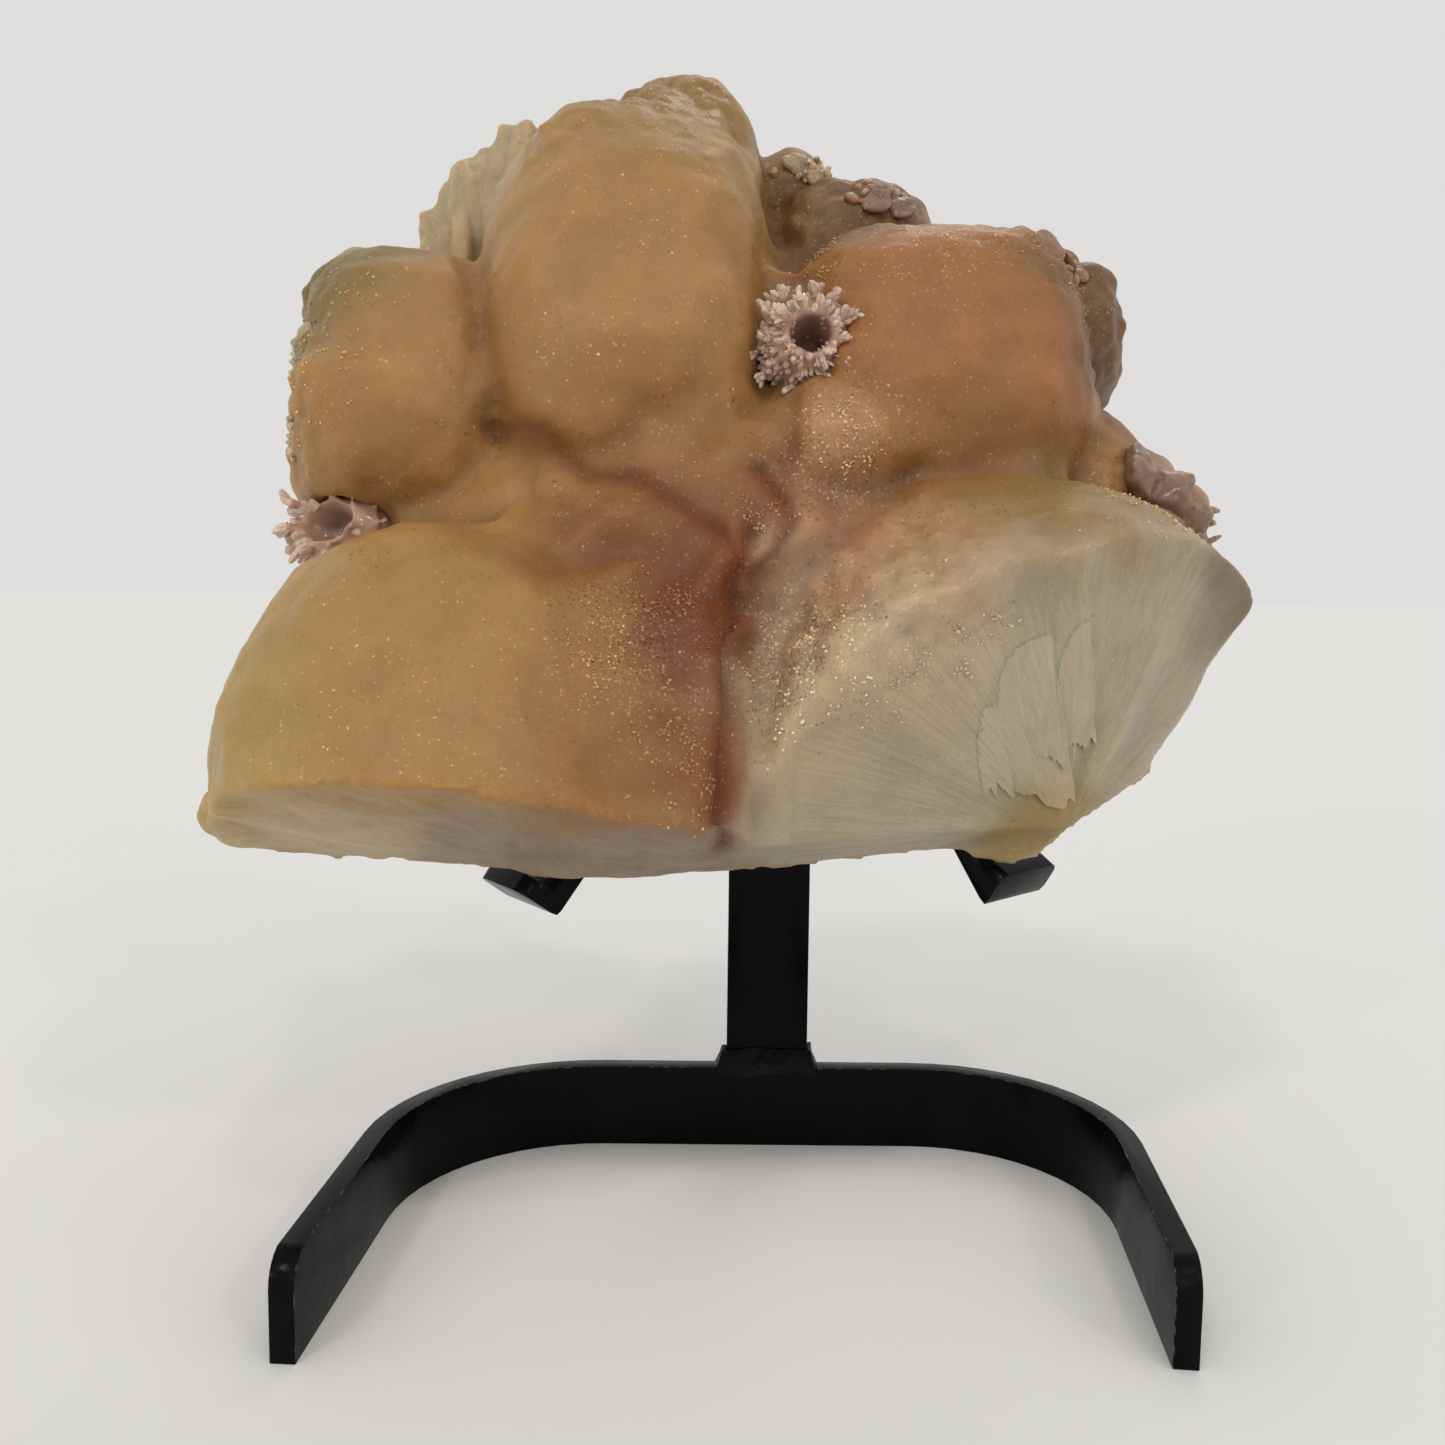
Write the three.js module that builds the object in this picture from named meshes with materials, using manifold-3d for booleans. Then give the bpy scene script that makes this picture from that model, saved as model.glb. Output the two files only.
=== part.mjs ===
// Stilbite cluster on a welded flat-bar display stand, in millimetres, +Z up.
// The origin is on the surface under the middle of the stand's back bar; the front looks along -Y.

import * as THREE from 'three';
import { mergeVertices } from 'three/addons/utils/BufferGeometryUtils.js';
import { ImprovedNoise } from 'three/addons/math/ImprovedNoise.js';
import Module from 'manifold-3d';

const wasm = await Module();
wasm.setup();

// Flat bar stock, and the clearance kept between touching pieces
const BAR_WIDTH = 25;
const BAR_THICKNESS = 5;
const BASE_THICKNESS = 6;
const GAP = 0.3;

// Horseshoe base, by the outer face of its bar as seen from above; splay opens a leg outwards
const BACK_FACE_Y = BASE_THICKNESS / 2;
const LEG_END_Y = -126;
const LEFT_LEG = { side: -1, cornerX: -108.4, splay: 3.5, bend: 62 };
const RIGHT_LEG = { side: 1, cornerX: 106.3, splay: -5.6, bend: 56 };
const LEG_END_ROUND = 8;

// Upright, standing on the back bar and leaning back a little
const UPRIGHT_LEAN = 2;
const UPRIGHT_TOP_Z = 208;

// Arms: flat bar from the upright down and outwards, its end turned up into a short lip.
// The corner is the outer point of the bend that is nearest the middle, swing is the turn from
// straight ahead, and slope and lip are the rises of the arm and of the lip from level.
const RIGHT_ARM = {
  side: 1, corner: [52.6, -69.7, 93.0], swing: 43, slope: 52.7, lip: 58, lipLength: 10.5, round: 3,
};
const LEFT_ARM = {
  side: -1, corner: [-57.7, -69.9, 89.2], swing: 54, slope: 49.6, lip: 36, lipLength: 13, round: 5,
};
const ARM_STOCK = 175;
const ARM_TOP_Z = 206;
const BEND_SOFTNESS = 2;

// Welds: size of the fillet at the upright's foot and of the beads between the arms, and how far
// the fillet runs down over the back bar
const FOOT_FILLET = 3.4;
const FOOT_OVERLAP = 1;
const FOOT_ROUGHNESS = 1.6;
const HEAD_BEAD = 6;
const HEAD_LENGTH = 24;

// Specimen frame: it lies on the arms, x across, y into the back, z up its slope
const SPECIMEN_LEAN = 27.5;
const SPECIMEN_SEAT = [0, -70.3, 101];
const BACK = { relief: 5, cells: 14, broad: 31, fine: 13 };

// Rounded crystal balls of the specimen: place and half size across, in depth and up the slope.
// Depth is measured forwards from the back plane. A square above 2 makes a ball boxier.
const TOP_BALL = { at: [-44, 4, 154], half: [44, 62, 67], square: 2.6, detail: 6 };
const LEFT_BALL = { at: [-101, 0, 131], half: [35, 53, 42], square: 2.7, detail: 5 };
const RIGHT_BALL = { at: [42, 0, 138], half: [46, 57, 46], square: 2.7, detail: 6 };
const LOWER_LEFT_BALL = { at: [-83, 0, 4], half: [58, 64, 83], square: 2.9, detail: 7 };
const WAIST = { at: [-34, 0, 24], half: [30, 53, 60], square: 2.5, detail: 4 };
const CENTRE = { at: [-24, 0, 86], half: [52, 46, 40], square: 2.3, detail: 4 };
const CORE = { at: [-14, 0, 92], half: [96, 38, 98], square: 3.4, detail: 4 };
const BROKEN_BALL = { at: [62, 0, 12], half: [72, 66, 92], square: 2.5, detail: 7 };
const GREAT_BALLS = [
  CORE, CENTRE, TOP_BALL, LEFT_BALL, RIGHT_BALL, LOWER_LEFT_BALL, WAIST, BROKEN_BALL,
];
const RIM_BALLS = [
  { at: [-30, 4, 197], half: [28, 44, 42], square: 2.4, detail: 4 },
  { at: [-119, 6, 163], half: [19, 24, 19], square: 2.3, detail: 3 },
  { at: [-84, 0, 194], half: [22, 24, 32], square: 3, detail: 2 },
  { at: [82, 0, 157], half: [18, 34, 23], square: 2.4, detail: 3 },
  { at: [20, 0, 182], half: [28, 32, 31], square: 2.4, detail: 3 },
  { at: [84, 0, 112], half: [20, 26, 24], square: 2.3, detail: 3 },
];

// How the hollows between the balls are filled: width of the blend between two balls, how far the
// fill lies under their crowns, its distance from their rims, its grid, and scale and size of knobs
const FILL = { blend: 30, sink: 7, inset: 3, cell: 10, knobs: [[22, 7], [11, 3.6]] };

// Knobs of a ball's skin: their scale and size
const SKIN = [[26, 3], [11, 1.8]];

// Smaller lumps: under the rosette, on the right edge, on the rim, at the left tip and at the two
// points that stand in the lips
const LUMPS = [
  { at: [13, 30, 106], half: [23, 24, 21], detail: 3 },
  { at: [103, 6, 110], half: [10, 14, 11], detail: 1 },
  { at: [110, 8, 102], half: [10, 13, 10], detail: 1 },
  { at: [111, 4, 91], half: [9, 12, 9], detail: 1 },
  { at: [2, 9, 210], half: [15, 14, 14], detail: 2 },
  { at: [75, 12, 180], half: [12, 11, 11], detail: 2 },
  { at: [35, 10, 199], half: [7, 9, 7], detail: 1 },
  { at: [82, 10, 182], half: [8, 9, 8], detail: 1 },
  { at: [90, 10, 172], half: [7, 9, 8], detail: 1 },
  { at: [-130, 8, 120], half: [7, 10, 8], detail: 1 },
  { at: [-134, 12, 11], half: [11, 14, 7], detail: 2 },
  { at: [-55, 4, 5], half: [18, 11, 8.5], detail: 2 },
  { at: [57, 0, 13], half: [17, 9, 10], detail: 2 },
];

// Sprays of small clear crystals on the rim, and how a spray scatters and tapers
const SPRAY = { count: 4, scatter: 0.7, taper: 0.12, root: 0.5 };
const SPRAYS = [
  { at: [7, 14, 208], aim: [0.1, 0.3, 1], length: 9, radius: 2.6 },
  { at: [57, 12, 182], aim: [0.2, 0.3, 1], length: 8, radius: 2.4 },
  { at: [-131, 12, 153], aim: [-1, 0.3, 0.2], length: 9, radius: 2.6 },
];

// Fracture faces, each a fan of fibres that spreads from the point where its ball began
const SEED = [71, 7, 6];
const UNDERSIDES = [
  { from: [-75, 2, 0.5], normal: [-0.07, 0, -1], rise: [0, 1, 0], relief: 1 },
  { from: [8, 0, 3.2], normal: [0.12, -0.04, -1], rise: [0, 1, 0], relief: 0.9 },
];
const BREAKS = [
  { from: SEED, normal: [0.22, 0.72, -0.66], rise: [0, 0, 1], relief: 1.5 },
  { from: SEED, normal: [0.53, 0.62, -0.57], rise: [0, 0, 1], relief: 1.3, ledges: true },
  { from: [86, 0, 12], normal: [0.83, 0.05, -0.56], rise: [0.6, 0, 0.8], relief: 1.2 },
  { from: [76, 0, 14], normal: [0.56, 0.05, -0.83], rise: [0.8, 0, 0.6], relief: 0.8 },
];

// Fan of fibres on a fracture face: radii of its rings, ribs, and the steps of the ledged one, each
// from an angle to an angle in degrees with its height
const FAN = { rings: [0, 12, 28, 46, 66, 90, 210], segments: 30, rib: 2.2, ribs: 4.5, fade: 40 };
const LEDGES = { start: 20, steps: [[-4, 6, 2.4], [6, 15, -1.6]] };

// Silky blades on the back left of the top: where each one's tip is across and up the slope
const BLADE = { thick: 5.4, length: 46, depth: 24, seat: 4, fanCentre: -84, fanTurn: 0.5 };
const BLADE_TIPS = [[-105, 195], [-100, 206], [-95, 211], [-89, 221], [-83, 226], [-76, 226], [-70, 227]];

// Quartz rosette between the top and right balls, and the quartz pocket on the left edge. A ring is
// its share of the half size and its number of crystals. A druse's crystals swirl round its mouth,
// lean outwards, scatter, and differ in size; the root is the part hidden in the cushion.
const DRUSE = { swirl: 0.3, lean: 1.2, scatter: 0.4, spread: 0.5, root: 2, mouth: 0.75 };
const ROSETTE = {
  at: [6, 41, 132], half: [13, 13, 12], hole: [5.6, 14, 5], aim: [0, 1, -0.2],
  rings: [[0.5, 8], [0.73, 11], [0.92, 13]], length: 5, radius: 2.3,
};
const POCKET = {
  at: [-117, 12, 90], half: [14, 15, 10], hole: [8, 9, 5.5], aim: [-0.4, 1, -0.1],
  rings: [[0.6, 7], [0.85, 10]], length: 5, radius: 2.3,
};

// Colours and finishes
const PAINT = { color: 0x0b0d0f, roughness: 0.35, metalness: 0.2 };
const STILBITE = { color: 0xd8b48c, roughness: 0.45, metalness: 0 };
const QUARTZ = { color: 0xd9c9cf, roughness: 0.25, metalness: 0 };

const noise = new ImprovedNoise();
const radians = THREE.MathUtils.degToRad;
const UP = new THREE.Vector3(0, 0, 1);

// Solids: between geometries and closed bodies that can be joined and cut

function solid(geometry) {
  const plain = new THREE.BufferGeometry();
  plain.setAttribute('position', geometry.getAttribute('position').clone());
  if (geometry.index) plain.setIndex(geometry.index.clone());
  const merged = mergeVertices(plain, 1e-4);
  const corner = merged.index.array;
  const faces = [];
  for (let i = 0; i < corner.length; i += 3) {
    const [a, b, c] = [corner[i], corner[i + 1], corner[i + 2]];
    if (a !== b && b !== c && c !== a) faces.push(a, b, c);
  }
  const vertProperties = new Float32Array(merged.getAttribute('position').array);
  return new wasm.Manifold(new wasm.Mesh({ numProp: 3, vertProperties, triVerts: new Uint32Array(faces) }));
}

function geometryOf(body) {
  const mesh = body.getMesh();
  const geometry = new THREE.BufferGeometry();
  geometry.setAttribute('position', new THREE.BufferAttribute(new Float32Array(mesh.vertProperties), 3));
  geometry.setIndex(new THREE.BufferAttribute(new Uint32Array(mesh.triVerts), 1));
  geometry.computeVertexNormals();
  return geometry;
}

function fuse(bodies) {
  return bodies.reduce((sum, body) => sum.add(body));
}

function cut(body, tools) {
  return tools.reduce((rest, tool) => rest.subtract(tool), body);
}

// A place in the specimen, given as across, depth from the back plane and height up the slope
function place([across, depth, height]) {
  return new THREE.Vector3(across, -depth, height);
}

// Rolling height at a place, for relief of a given scale
function ripple(point, scale) {
  return noise.noise(point.x / scale + 7.3, point.y / scale + 3.1, point.z / scale + 5.7);
}

// Small steady variation of the index-th of a set of like things
function vary(index, set) {
  return noise.noise(index * 1.37 + 0.4, set * 7.1, 0.2);
}

// Horseshoe base

function legFrame({ side, cornerX, splay, bend }) {
  const lean = radians(splay);
  const along = new THREE.Vector2(side * Math.sin(lean), -Math.cos(lean));
  const turn = Math.PI / 2 - lean;
  const tangent = bend * Math.tan(turn / 2);
  const corner = new THREE.Vector2(cornerX, BACK_FACE_Y);
  const centre = new THREE.Vector2(cornerX - side * tangent, BACK_FACE_Y - bend);
  const outward = new THREE.Vector2(side * Math.cos(lean), Math.sin(lean));
  const end = corner.clone().addScaledVector(along, (BACK_FACE_Y - LEG_END_Y) / Math.cos(lean));
  return { along, centre, outward, end, from: Math.PI / 2, to: Math.PI / 2 - side * turn };
}

function horseshoe() {
  const [left, right] = [legFrame(LEFT_LEG), legFrame(RIGHT_LEG)];
  const inner = (leg) => leg.end.clone().addScaledVector(leg.outward, -BASE_THICKNESS);
  const outline = new THREE.Shape();
  outline.moveTo(inner(left).x, inner(left).y);
  outline.lineTo(left.end.x, left.end.y);
  outline.absarc(left.centre.x, left.centre.y, LEFT_LEG.bend, left.to, left.from, true);
  outline.absarc(right.centre.x, right.centre.y, RIGHT_LEG.bend, right.from, right.to, true);
  outline.lineTo(right.end.x, right.end.y);
  outline.lineTo(inner(right).x, inner(right).y);
  const innerBend = (leg) => leg.bend - BASE_THICKNESS;
  outline.absarc(right.centre.x, right.centre.y, innerBend(RIGHT_LEG), right.to, right.from, false);
  outline.absarc(left.centre.x, left.centre.y, innerBend(LEFT_LEG), left.from, left.to, false);
  outline.closePath();
  const bar = { depth: BAR_WIDTH, bevelEnabled: false, curveSegments: 6 };
  return solid(new THREE.ExtrudeGeometry(outline, bar));
}

// What is filed off a square bar corner at the origin, in the plane of the bar's broad face
function cornerWaste(radius) {
  const waste = new THREE.Shape();
  const clear = radius / 2;
  waste.moveTo(clear, clear);
  waste.lineTo(-radius, clear);
  waste.lineTo(-radius, 0);
  waste.absarc(-radius, -radius, radius, Math.PI / 2, 0, true);
  waste.lineTo(clear, -radius);
  waste.closePath();
  const thick = 3 * BASE_THICKNESS;
  const geometry = new THREE.ExtrudeGeometry(waste, { depth: thick, bevelEnabled: false, curveSegments: 3 });
  return geometry.translate(0, 0, -thick / 2);
}

function legEndWaste(leg) {
  const frame = legFrame(leg);
  const along = new THREE.Vector3(frame.along.x, frame.along.y, 0);
  const across = new THREE.Vector3().crossVectors(along, UP);
  const turn = new THREE.Matrix4().makeBasis(along, UP, across);
  turn.setPosition(frame.end.x, frame.end.y, BAR_WIDTH);
  return solid(cornerWaste(LEG_END_ROUND).applyMatrix4(turn));
}

function baseBar() {
  return cut(horseshoe(), [legEndWaste(LEFT_LEG), legEndWaste(RIGHT_LEG)]);
}

// Upright

function uprightGeometry(grow = 0) {
  const foot = BAR_WIDTH + GAP + (BAR_THICKNESS / 2) * Math.sin(radians(UPRIGHT_LEAN));
  const length = UPRIGHT_TOP_Z - foot;
  const [width, thickness, height] = [BAR_WIDTH, BAR_THICKNESS, length].map((size) => size + 2 * grow);
  const box = new THREE.BoxGeometry(width, thickness, height).translate(0, 0, length / 2);
  return box.rotateX(-radians(UPRIGHT_LEAN)).translate(0, 0, foot);
}

// Arms with turned-up lips

function armMatrix({ side, corner, swing }) {
  const turn = radians(swing);
  const outward = new THREE.Vector3(side * Math.sin(turn), -Math.cos(turn), 0);
  const across = new THREE.Vector3().crossVectors(outward, UP);
  return new THREE.Matrix4().makeBasis(outward, UP, across).setPosition(...corner);
}

function armProfile({ slope, lip, lipLength }, grow) {
  const rise = new THREE.Vector2(-Math.cos(radians(slope)), Math.sin(radians(slope)));
  const turnedUp = new THREE.Vector2(Math.cos(radians(lip)), Math.sin(radians(lip)));
  const inRise = new THREE.Vector2(rise.y, -rise.x);
  const inLip = new THREE.Vector2(-turnedUp.y, turnedUp.x);
  const half = (Math.PI - radians(slope) - radians(lip)) / 2;
  const bisector = rise.clone().add(turnedUp).normalize();
  const outer = bisector.clone().multiplyScalar(-grow / Math.sin(half));
  const inner = bisector.clone().multiplyScalar((BAR_THICKNESS + grow) / Math.sin(half));
  const bend = BEND_SOFTNESS / Math.tan(half);
  const armEnd = rise.clone().multiplyScalar(ARM_STOCK);
  const lipEnd = turnedUp.clone().multiplyScalar(lipLength + grow);
  const points = [
    armEnd.clone().addScaledVector(inRise, -grow),
    outer.clone().addScaledVector(rise, bend),
    outer.clone().addScaledVector(bisector, bend / 4),
    outer.clone().addScaledVector(turnedUp, bend),
    lipEnd.clone().addScaledVector(inLip, -grow),
    lipEnd.clone().addScaledVector(inLip, BAR_THICKNESS + grow),
    inner,
    armEnd.clone().addScaledVector(inRise, BAR_THICKNESS + grow),
  ];
  return new THREE.Shape(points);
}

function lipWaste(arm, far) {
  const start = arm.side > 0 ? -BAR_WIDTH : 0;
  const turnedUp = new THREE.Vector3(Math.cos(radians(arm.lip)), Math.sin(radians(arm.lip)), 0);
  const end = turnedUp.clone().multiplyScalar(arm.lipLength);
  const across = new THREE.Vector3(0, 0, far ? 1 : -1);
  const frame = new THREE.Matrix4().makeBasis(turnedUp, across, turnedUp.clone().cross(across));
  frame.setPosition(end.x, end.y, start + (far ? BAR_WIDTH : 0));
  return solid(cornerWaste(arm.round).applyMatrix4(frame).applyMatrix4(armMatrix(arm)));
}

function armGeometry(arm, grow = 0) {
  const depth = BAR_WIDTH + 2 * grow;
  const start = (arm.side > 0 ? -BAR_WIDTH : 0) - grow;
  const bar = new THREE.ExtrudeGeometry(armProfile(arm, grow), { depth, bevelEnabled: false });
  return bar.translate(0, 0, start).applyMatrix4(armMatrix(arm));
}

// Everything beyond a plane, as a large box
function beyond(point, normal) {
  const reach = 500;
  const box = new THREE.BoxGeometry(reach, reach, reach).translate(0, 0, reach / 2);
  box.applyQuaternion(new THREE.Quaternion().setFromUnitVectors(UP, normal.clone().normalize()));
  return solid(box.translate(point.x, point.y, point.z));
}

function armBody(arm) {
  const lean = radians(UPRIGHT_LEAN);
  const frontOfUpright = new THREE.Vector3(0, -BAR_THICKNESS / 2 - GAP, BAR_WIDTH);
  const wastes = [
    beyond(frontOfUpright, new THREE.Vector3(0, Math.cos(lean), -Math.sin(lean))),
    beyond(new THREE.Vector3(arm.side * GAP / 2, 0, 0), new THREE.Vector3(-arm.side, 0, 0)),
    beyond(new THREE.Vector3(0, 0, ARM_TOP_Z), UP),
    lipWaste(arm, false),
    lipWaste(arm, true),
  ];
  return cut(solid(armGeometry(arm)), wastes);
}

// Welds

// Lumpy fillet all round the foot of the upright, on top of the back bar
function footWeld() {
  const height = 2 * FOOT_FILLET;
  const [across, through] = [BAR_WIDTH, BASE_THICKNESS].map((size) => size + 2 * FOOT_FILLET);
  const fillet = new THREE.BoxGeometry(across, through, height, 6, 2, 2);
  const position = fillet.getAttribute('position');
  const point = new THREE.Vector3();
  for (let i = 0; i < position.count; i += 1) {
    point.fromBufferAttribute(position, i);
    const inwards = FOOT_FILLET * (point.z / height + 0.5);
    point.x -= Math.sign(point.x) * inwards * 0.7;
    point.y -= Math.sign(point.y) * inwards;
    point.addScalar(FOOT_ROUGHNESS * ripple(point, FOOT_FILLET));
    position.setXYZ(i, point.x, point.y, point.z);
  }
  fillet.translate(0, 0, BAR_WIDTH + FOOT_FILLET - FOOT_OVERLAP);
  const seat = new THREE.BoxGeometry(4 * BAR_WIDTH, BASE_THICKNESS + 2 * GAP, BAR_WIDTH + GAP);
  seat.translate(0, 0, (BAR_WIDTH + GAP) / 2);
  return cut(solid(fillet), [solid(seat), solid(uprightGeometry(GAP))]);
}

// Row of beads in the groove between the two arms, on the front of the upright
function headWeld() {
  const lean = Math.tan(radians(UPRIGHT_LEAN));
  const beads = [];
  for (let z = UPRIGHT_TOP_Z - HEAD_LENGTH; z < UPRIGHT_TOP_Z - HEAD_BEAD; z += HEAD_BEAD) {
    const ball = new THREE.IcosahedronGeometry(HEAD_BEAD, 0);
    const y = (z - BAR_WIDTH) * lean - BAR_THICKNESS / 2 - HEAD_BEAD / 3;
    beads.push(solid(ball.translate(0, y, z)));
  }
  const tools = [RIGHT_ARM, LEFT_ARM].map((arm) => solid(armGeometry(arm, GAP)));
  return cut(fuse(beads), [...tools, solid(uprightGeometry(GAP))]);
}

// Specimen: rounded balls with a knobbly skin

function ballGeometry({ at, half, square = 2, detail = 2 }) {
  const geometry = new THREE.IcosahedronGeometry(1, detail);
  const position = geometry.getAttribute('position');
  const centre = place(at);
  const scale = new THREE.Vector3(...half);
  const point = new THREE.Vector3();
  const out = new THREE.Vector3();
  for (let i = 0; i < position.count; i += 1) {
    out.fromBufferAttribute(position, i).normalize();
    const sum = [out.x, out.y, out.z].reduce((total, part) => total + Math.abs(part) ** square, 0);
    point.copy(out).multiplyScalar(sum ** (-1 / square)).multiply(scale).add(centre);
    const knobs = SKIN.map(([size, height]) => height * ripple(point, size));
    point.addScaledVector(out, knobs[0] + knobs[1]);
    position.setXYZ(i, point.x, point.y, point.z);
  }
  return geometry;
}

// How far a ball reaches forwards at a place on the back plane, or behind the back beside it
function ballDepth({ at, half, square }, x, z) {
  const across = Math.abs(x - at[0]) / (half[0] - FILL.inset);
  const up = Math.abs(z - at[2]) / (half[2] - FILL.inset);
  const left = 1 - across ** square - up ** square;
  return left > 0 ? at[1] + half[1] * left ** (1 / square) : -half[1];
}

// Depth of the fill: the deepest ball, raised where a second one comes near it
function fillDepth(x, z) {
  const reaches = GREAT_BALLS.map((ball) => ballDepth(ball, x, z)).sort((a, b) => b - a);
  const near = Math.max(0, 1 - (reaches[0] - reaches[1]) / FILL.blend);
  const knobs = FILL.knobs.map(([scale, size]) => size * noise.noise(x / scale, z / scale, scale));
  const raise = (FILL.blend * near * near) / 4 + near * (knobs[0] + knobs[1]);
  return reaches[0] - FILL.sink * (1 - near) + raise;
}

// A rolling sheet that rises into the hollows where balls meet and hides under their crowns
function hollowFill() {
  const [across, tall, thick] = [270, 234, 40];
  const grid = [across, tall].map((size) => size / FILL.cell);
  const box = new THREE.BoxGeometry(across, thick, tall, grid[0], 1, grid[1]);
  box.translate(-10, thick / 2, tall / 2 - 5);
  const position = box.getAttribute('position');
  const point = new THREE.Vector3();
  for (let i = 0; i < position.count; i += 1) {
    point.fromBufferAttribute(position, i);
    if (point.y > thick / 2) continue;
    const depth = fillDepth(point.x, point.z);
    position.setY(i, depth > 0 ? -depth : thick / 3);
  }
  return solid(box);
}

// A large block whose face is a fan of shallow ribs and ledges; taking it away leaves the fracture
function fanWaste({ from, normal, rise, relief, ledges = false }) {
  const profile = FAN.rings.map((radius) => new THREE.Vector2(radius, 0));
  const reach = FAN.rings.at(-1);
  profile.push(new THREE.Vector2(reach, 1.5 * reach), new THREE.Vector2(0, 1.5 * reach));
  const geometry = new THREE.LatheGeometry(profile, FAN.segments);
  const position = geometry.getAttribute('position');
  for (let i = 0; i < position.count; i += 1) {
    if (position.getY(i) > 1) continue;
    const [x, z] = [position.getX(i), position.getZ(i)];
    const radius = Math.hypot(x, z);
    const angle = Math.atan2(x, z);
    const around = [Math.cos(angle) * FAN.ribs, Math.sin(angle) * FAN.ribs];
    const rib = noise.noise(...around, radius / (2 * FAN.fade));
    const height = FAN.rib * relief * rib * Math.min(1, radius / FAN.fade);
    position.setY(i, height + (ledges ? ledgeHeight(angle, radius) : 0));
  }
  const axis = place(normal).normalize();
  const upward = place(rise).addScaledVector(axis, -place(rise).dot(axis)).normalize();
  const frame = new THREE.Matrix4().makeBasis(new THREE.Vector3().crossVectors(axis, upward), axis, upward);
  frame.setPosition(place(from));
  return solid(geometry.applyMatrix4(frame));
}

// Steps of the front fracture: a slab that stands proud beside a sunken strip
function ledgeHeight(angle, radius) {
  if (radius < LEDGES.start) return 0;
  const degrees = THREE.MathUtils.radToDeg(angle);
  const step = LEDGES.steps.find(([from, to]) => degrees > from && degrees <= to);
  return step ? step[2] : 0;
}

// Everything behind the back plane, with a few shallow hollows left in the rough back
function backWaste() {
  const reach = 400;
  const thick = reach / 4;
  const box = new THREE.BoxGeometry(reach, thick, reach, BACK.cells, 1, BACK.cells);
  box.translate(0, thick / 2, reach / 4);
  const position = box.getAttribute('position');
  const point = new THREE.Vector3();
  for (let i = 0; i < position.count; i += 1) {
    point.fromBufferAttribute(position, i);
    if (point.y > 1) continue;
    const hollow = 0.35 + ripple(point, BACK.broad) + 0.5 * ripple(point, BACK.fine);
    position.setY(i, -GAP - BACK.relief * Math.max(0, hollow));
  }
  return solid(box);
}

function blade([across, tip], index) {
  const depth = BLADE.depth + 3 * (index % 3);
  const plate = new THREE.BoxGeometry(BLADE.thick, depth, BLADE.length);
  plate.translate(0, -depth / 2, -BLADE.length / 2);
  plate.rotateY(radians((across - BLADE.fanCentre) * BLADE.fanTurn)).rotateX(radians(3 * (index % 2) - 2));
  return solid(plate.translate(across, BLADE.seat, tip));
}

// Pointed crystal with its foot at the origin and its tip up the Y axis
function crystalGeometry(radius, length) {
  const profile = [[0, 0], [radius, length * 0.6], [0, length]];
  return new THREE.LatheGeometry(profile.map(([x, y]) => new THREE.Vector2(x, y)), 4);
}

function crystal(foot, aim, radius, length) {
  const geometry = crystalGeometry(radius, length);
  geometry.applyQuaternion(new THREE.Quaternion().setFromUnitVectors(new THREE.Vector3(0, 1, 0), aim));
  return solid(geometry.translate(foot.x, foot.y, foot.z));
}

function spray({ at, aim, length, radius }) {
  const bodies = [];
  for (let i = 0; i < SPRAY.count; i += 1) {
    const tilt = place(aim).normalize();
    tilt.x += SPRAY.scatter * vary(i, at[0]);
    tilt.z += SPRAY.scatter * vary(i, at[2]);
    const foot = place(at).addScaledVector(tilt.normalize(), -SPRAY.root * length);
    const size = 1 - SPRAY.taper * i;
    bodies.push(crystal(foot, tilt, radius * size, length * (size + SPRAY.root)));
  }
  return fuse(bodies);
}

function druseTurn({ aim }) {
  return new THREE.Quaternion().setFromUnitVectors(new THREE.Vector3(0, -1, 0), place(aim).normalize());
}

// A cushion of quartz, set into the stilbite, with rings of crystals that lean away from its mouth
function druse(shape, grow = 0) {
  const { at, half, rings, length, radius } = shape;
  const centre = place(at);
  const turn = druseTurn(shape);
  const cushion = new THREE.IcosahedronGeometry(1, 2).scale(...half.map((size) => size + grow));
  const bodies = [solid(cushion.applyQuaternion(turn).translate(centre.x, centre.y, centre.z))];
  for (const [ring, count] of rings) {
    for (let i = 0; i < count; i += 1) {
      const angle = ((i + ring) / count) * Math.PI * 2 + DRUSE.swirl * vary(i, ring + 1);
      const lean = ring * DRUSE.lean + DRUSE.scatter * vary(i, ring + 2);
      const size = 1 + DRUSE.spread * vary(i, ring + 3);
      const depth = Math.sqrt(1 - ring * ring) * half[1] - DRUSE.root;
      const [across, up] = [Math.cos(angle), Math.sin(angle)];
      const foot = new THREE.Vector3(across * half[0] * ring, -depth, up * half[2] * ring);
      const tip = new THREE.Vector3(across * Math.sin(lean), -Math.cos(lean), up * Math.sin(lean));
      foot.applyQuaternion(turn).add(centre);
      const reach = length * size + DRUSE.root + grow;
      bodies.push(crystal(foot, tip.applyQuaternion(turn), radius * size + grow, reach));
    }
  }
  return fuse(bodies);
}

function druseBody(shape) {
  const mouth = new THREE.IcosahedronGeometry(1, 1).scale(...shape.hole).applyQuaternion(druseTurn(shape));
  const outward = place(shape.aim).normalize();
  const centre = place(shape.at).addScaledVector(outward, shape.half[1] * DRUSE.mouth);
  return cut(druse(shape), [solid(mouth.translate(centre.x, centre.y, centre.z))]);
}

function specimenMatrix() {
  return new THREE.Matrix4().makeRotationX(-radians(SPECIMEN_LEAN)).setPosition(...SPECIMEN_SEAT);
}

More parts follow.
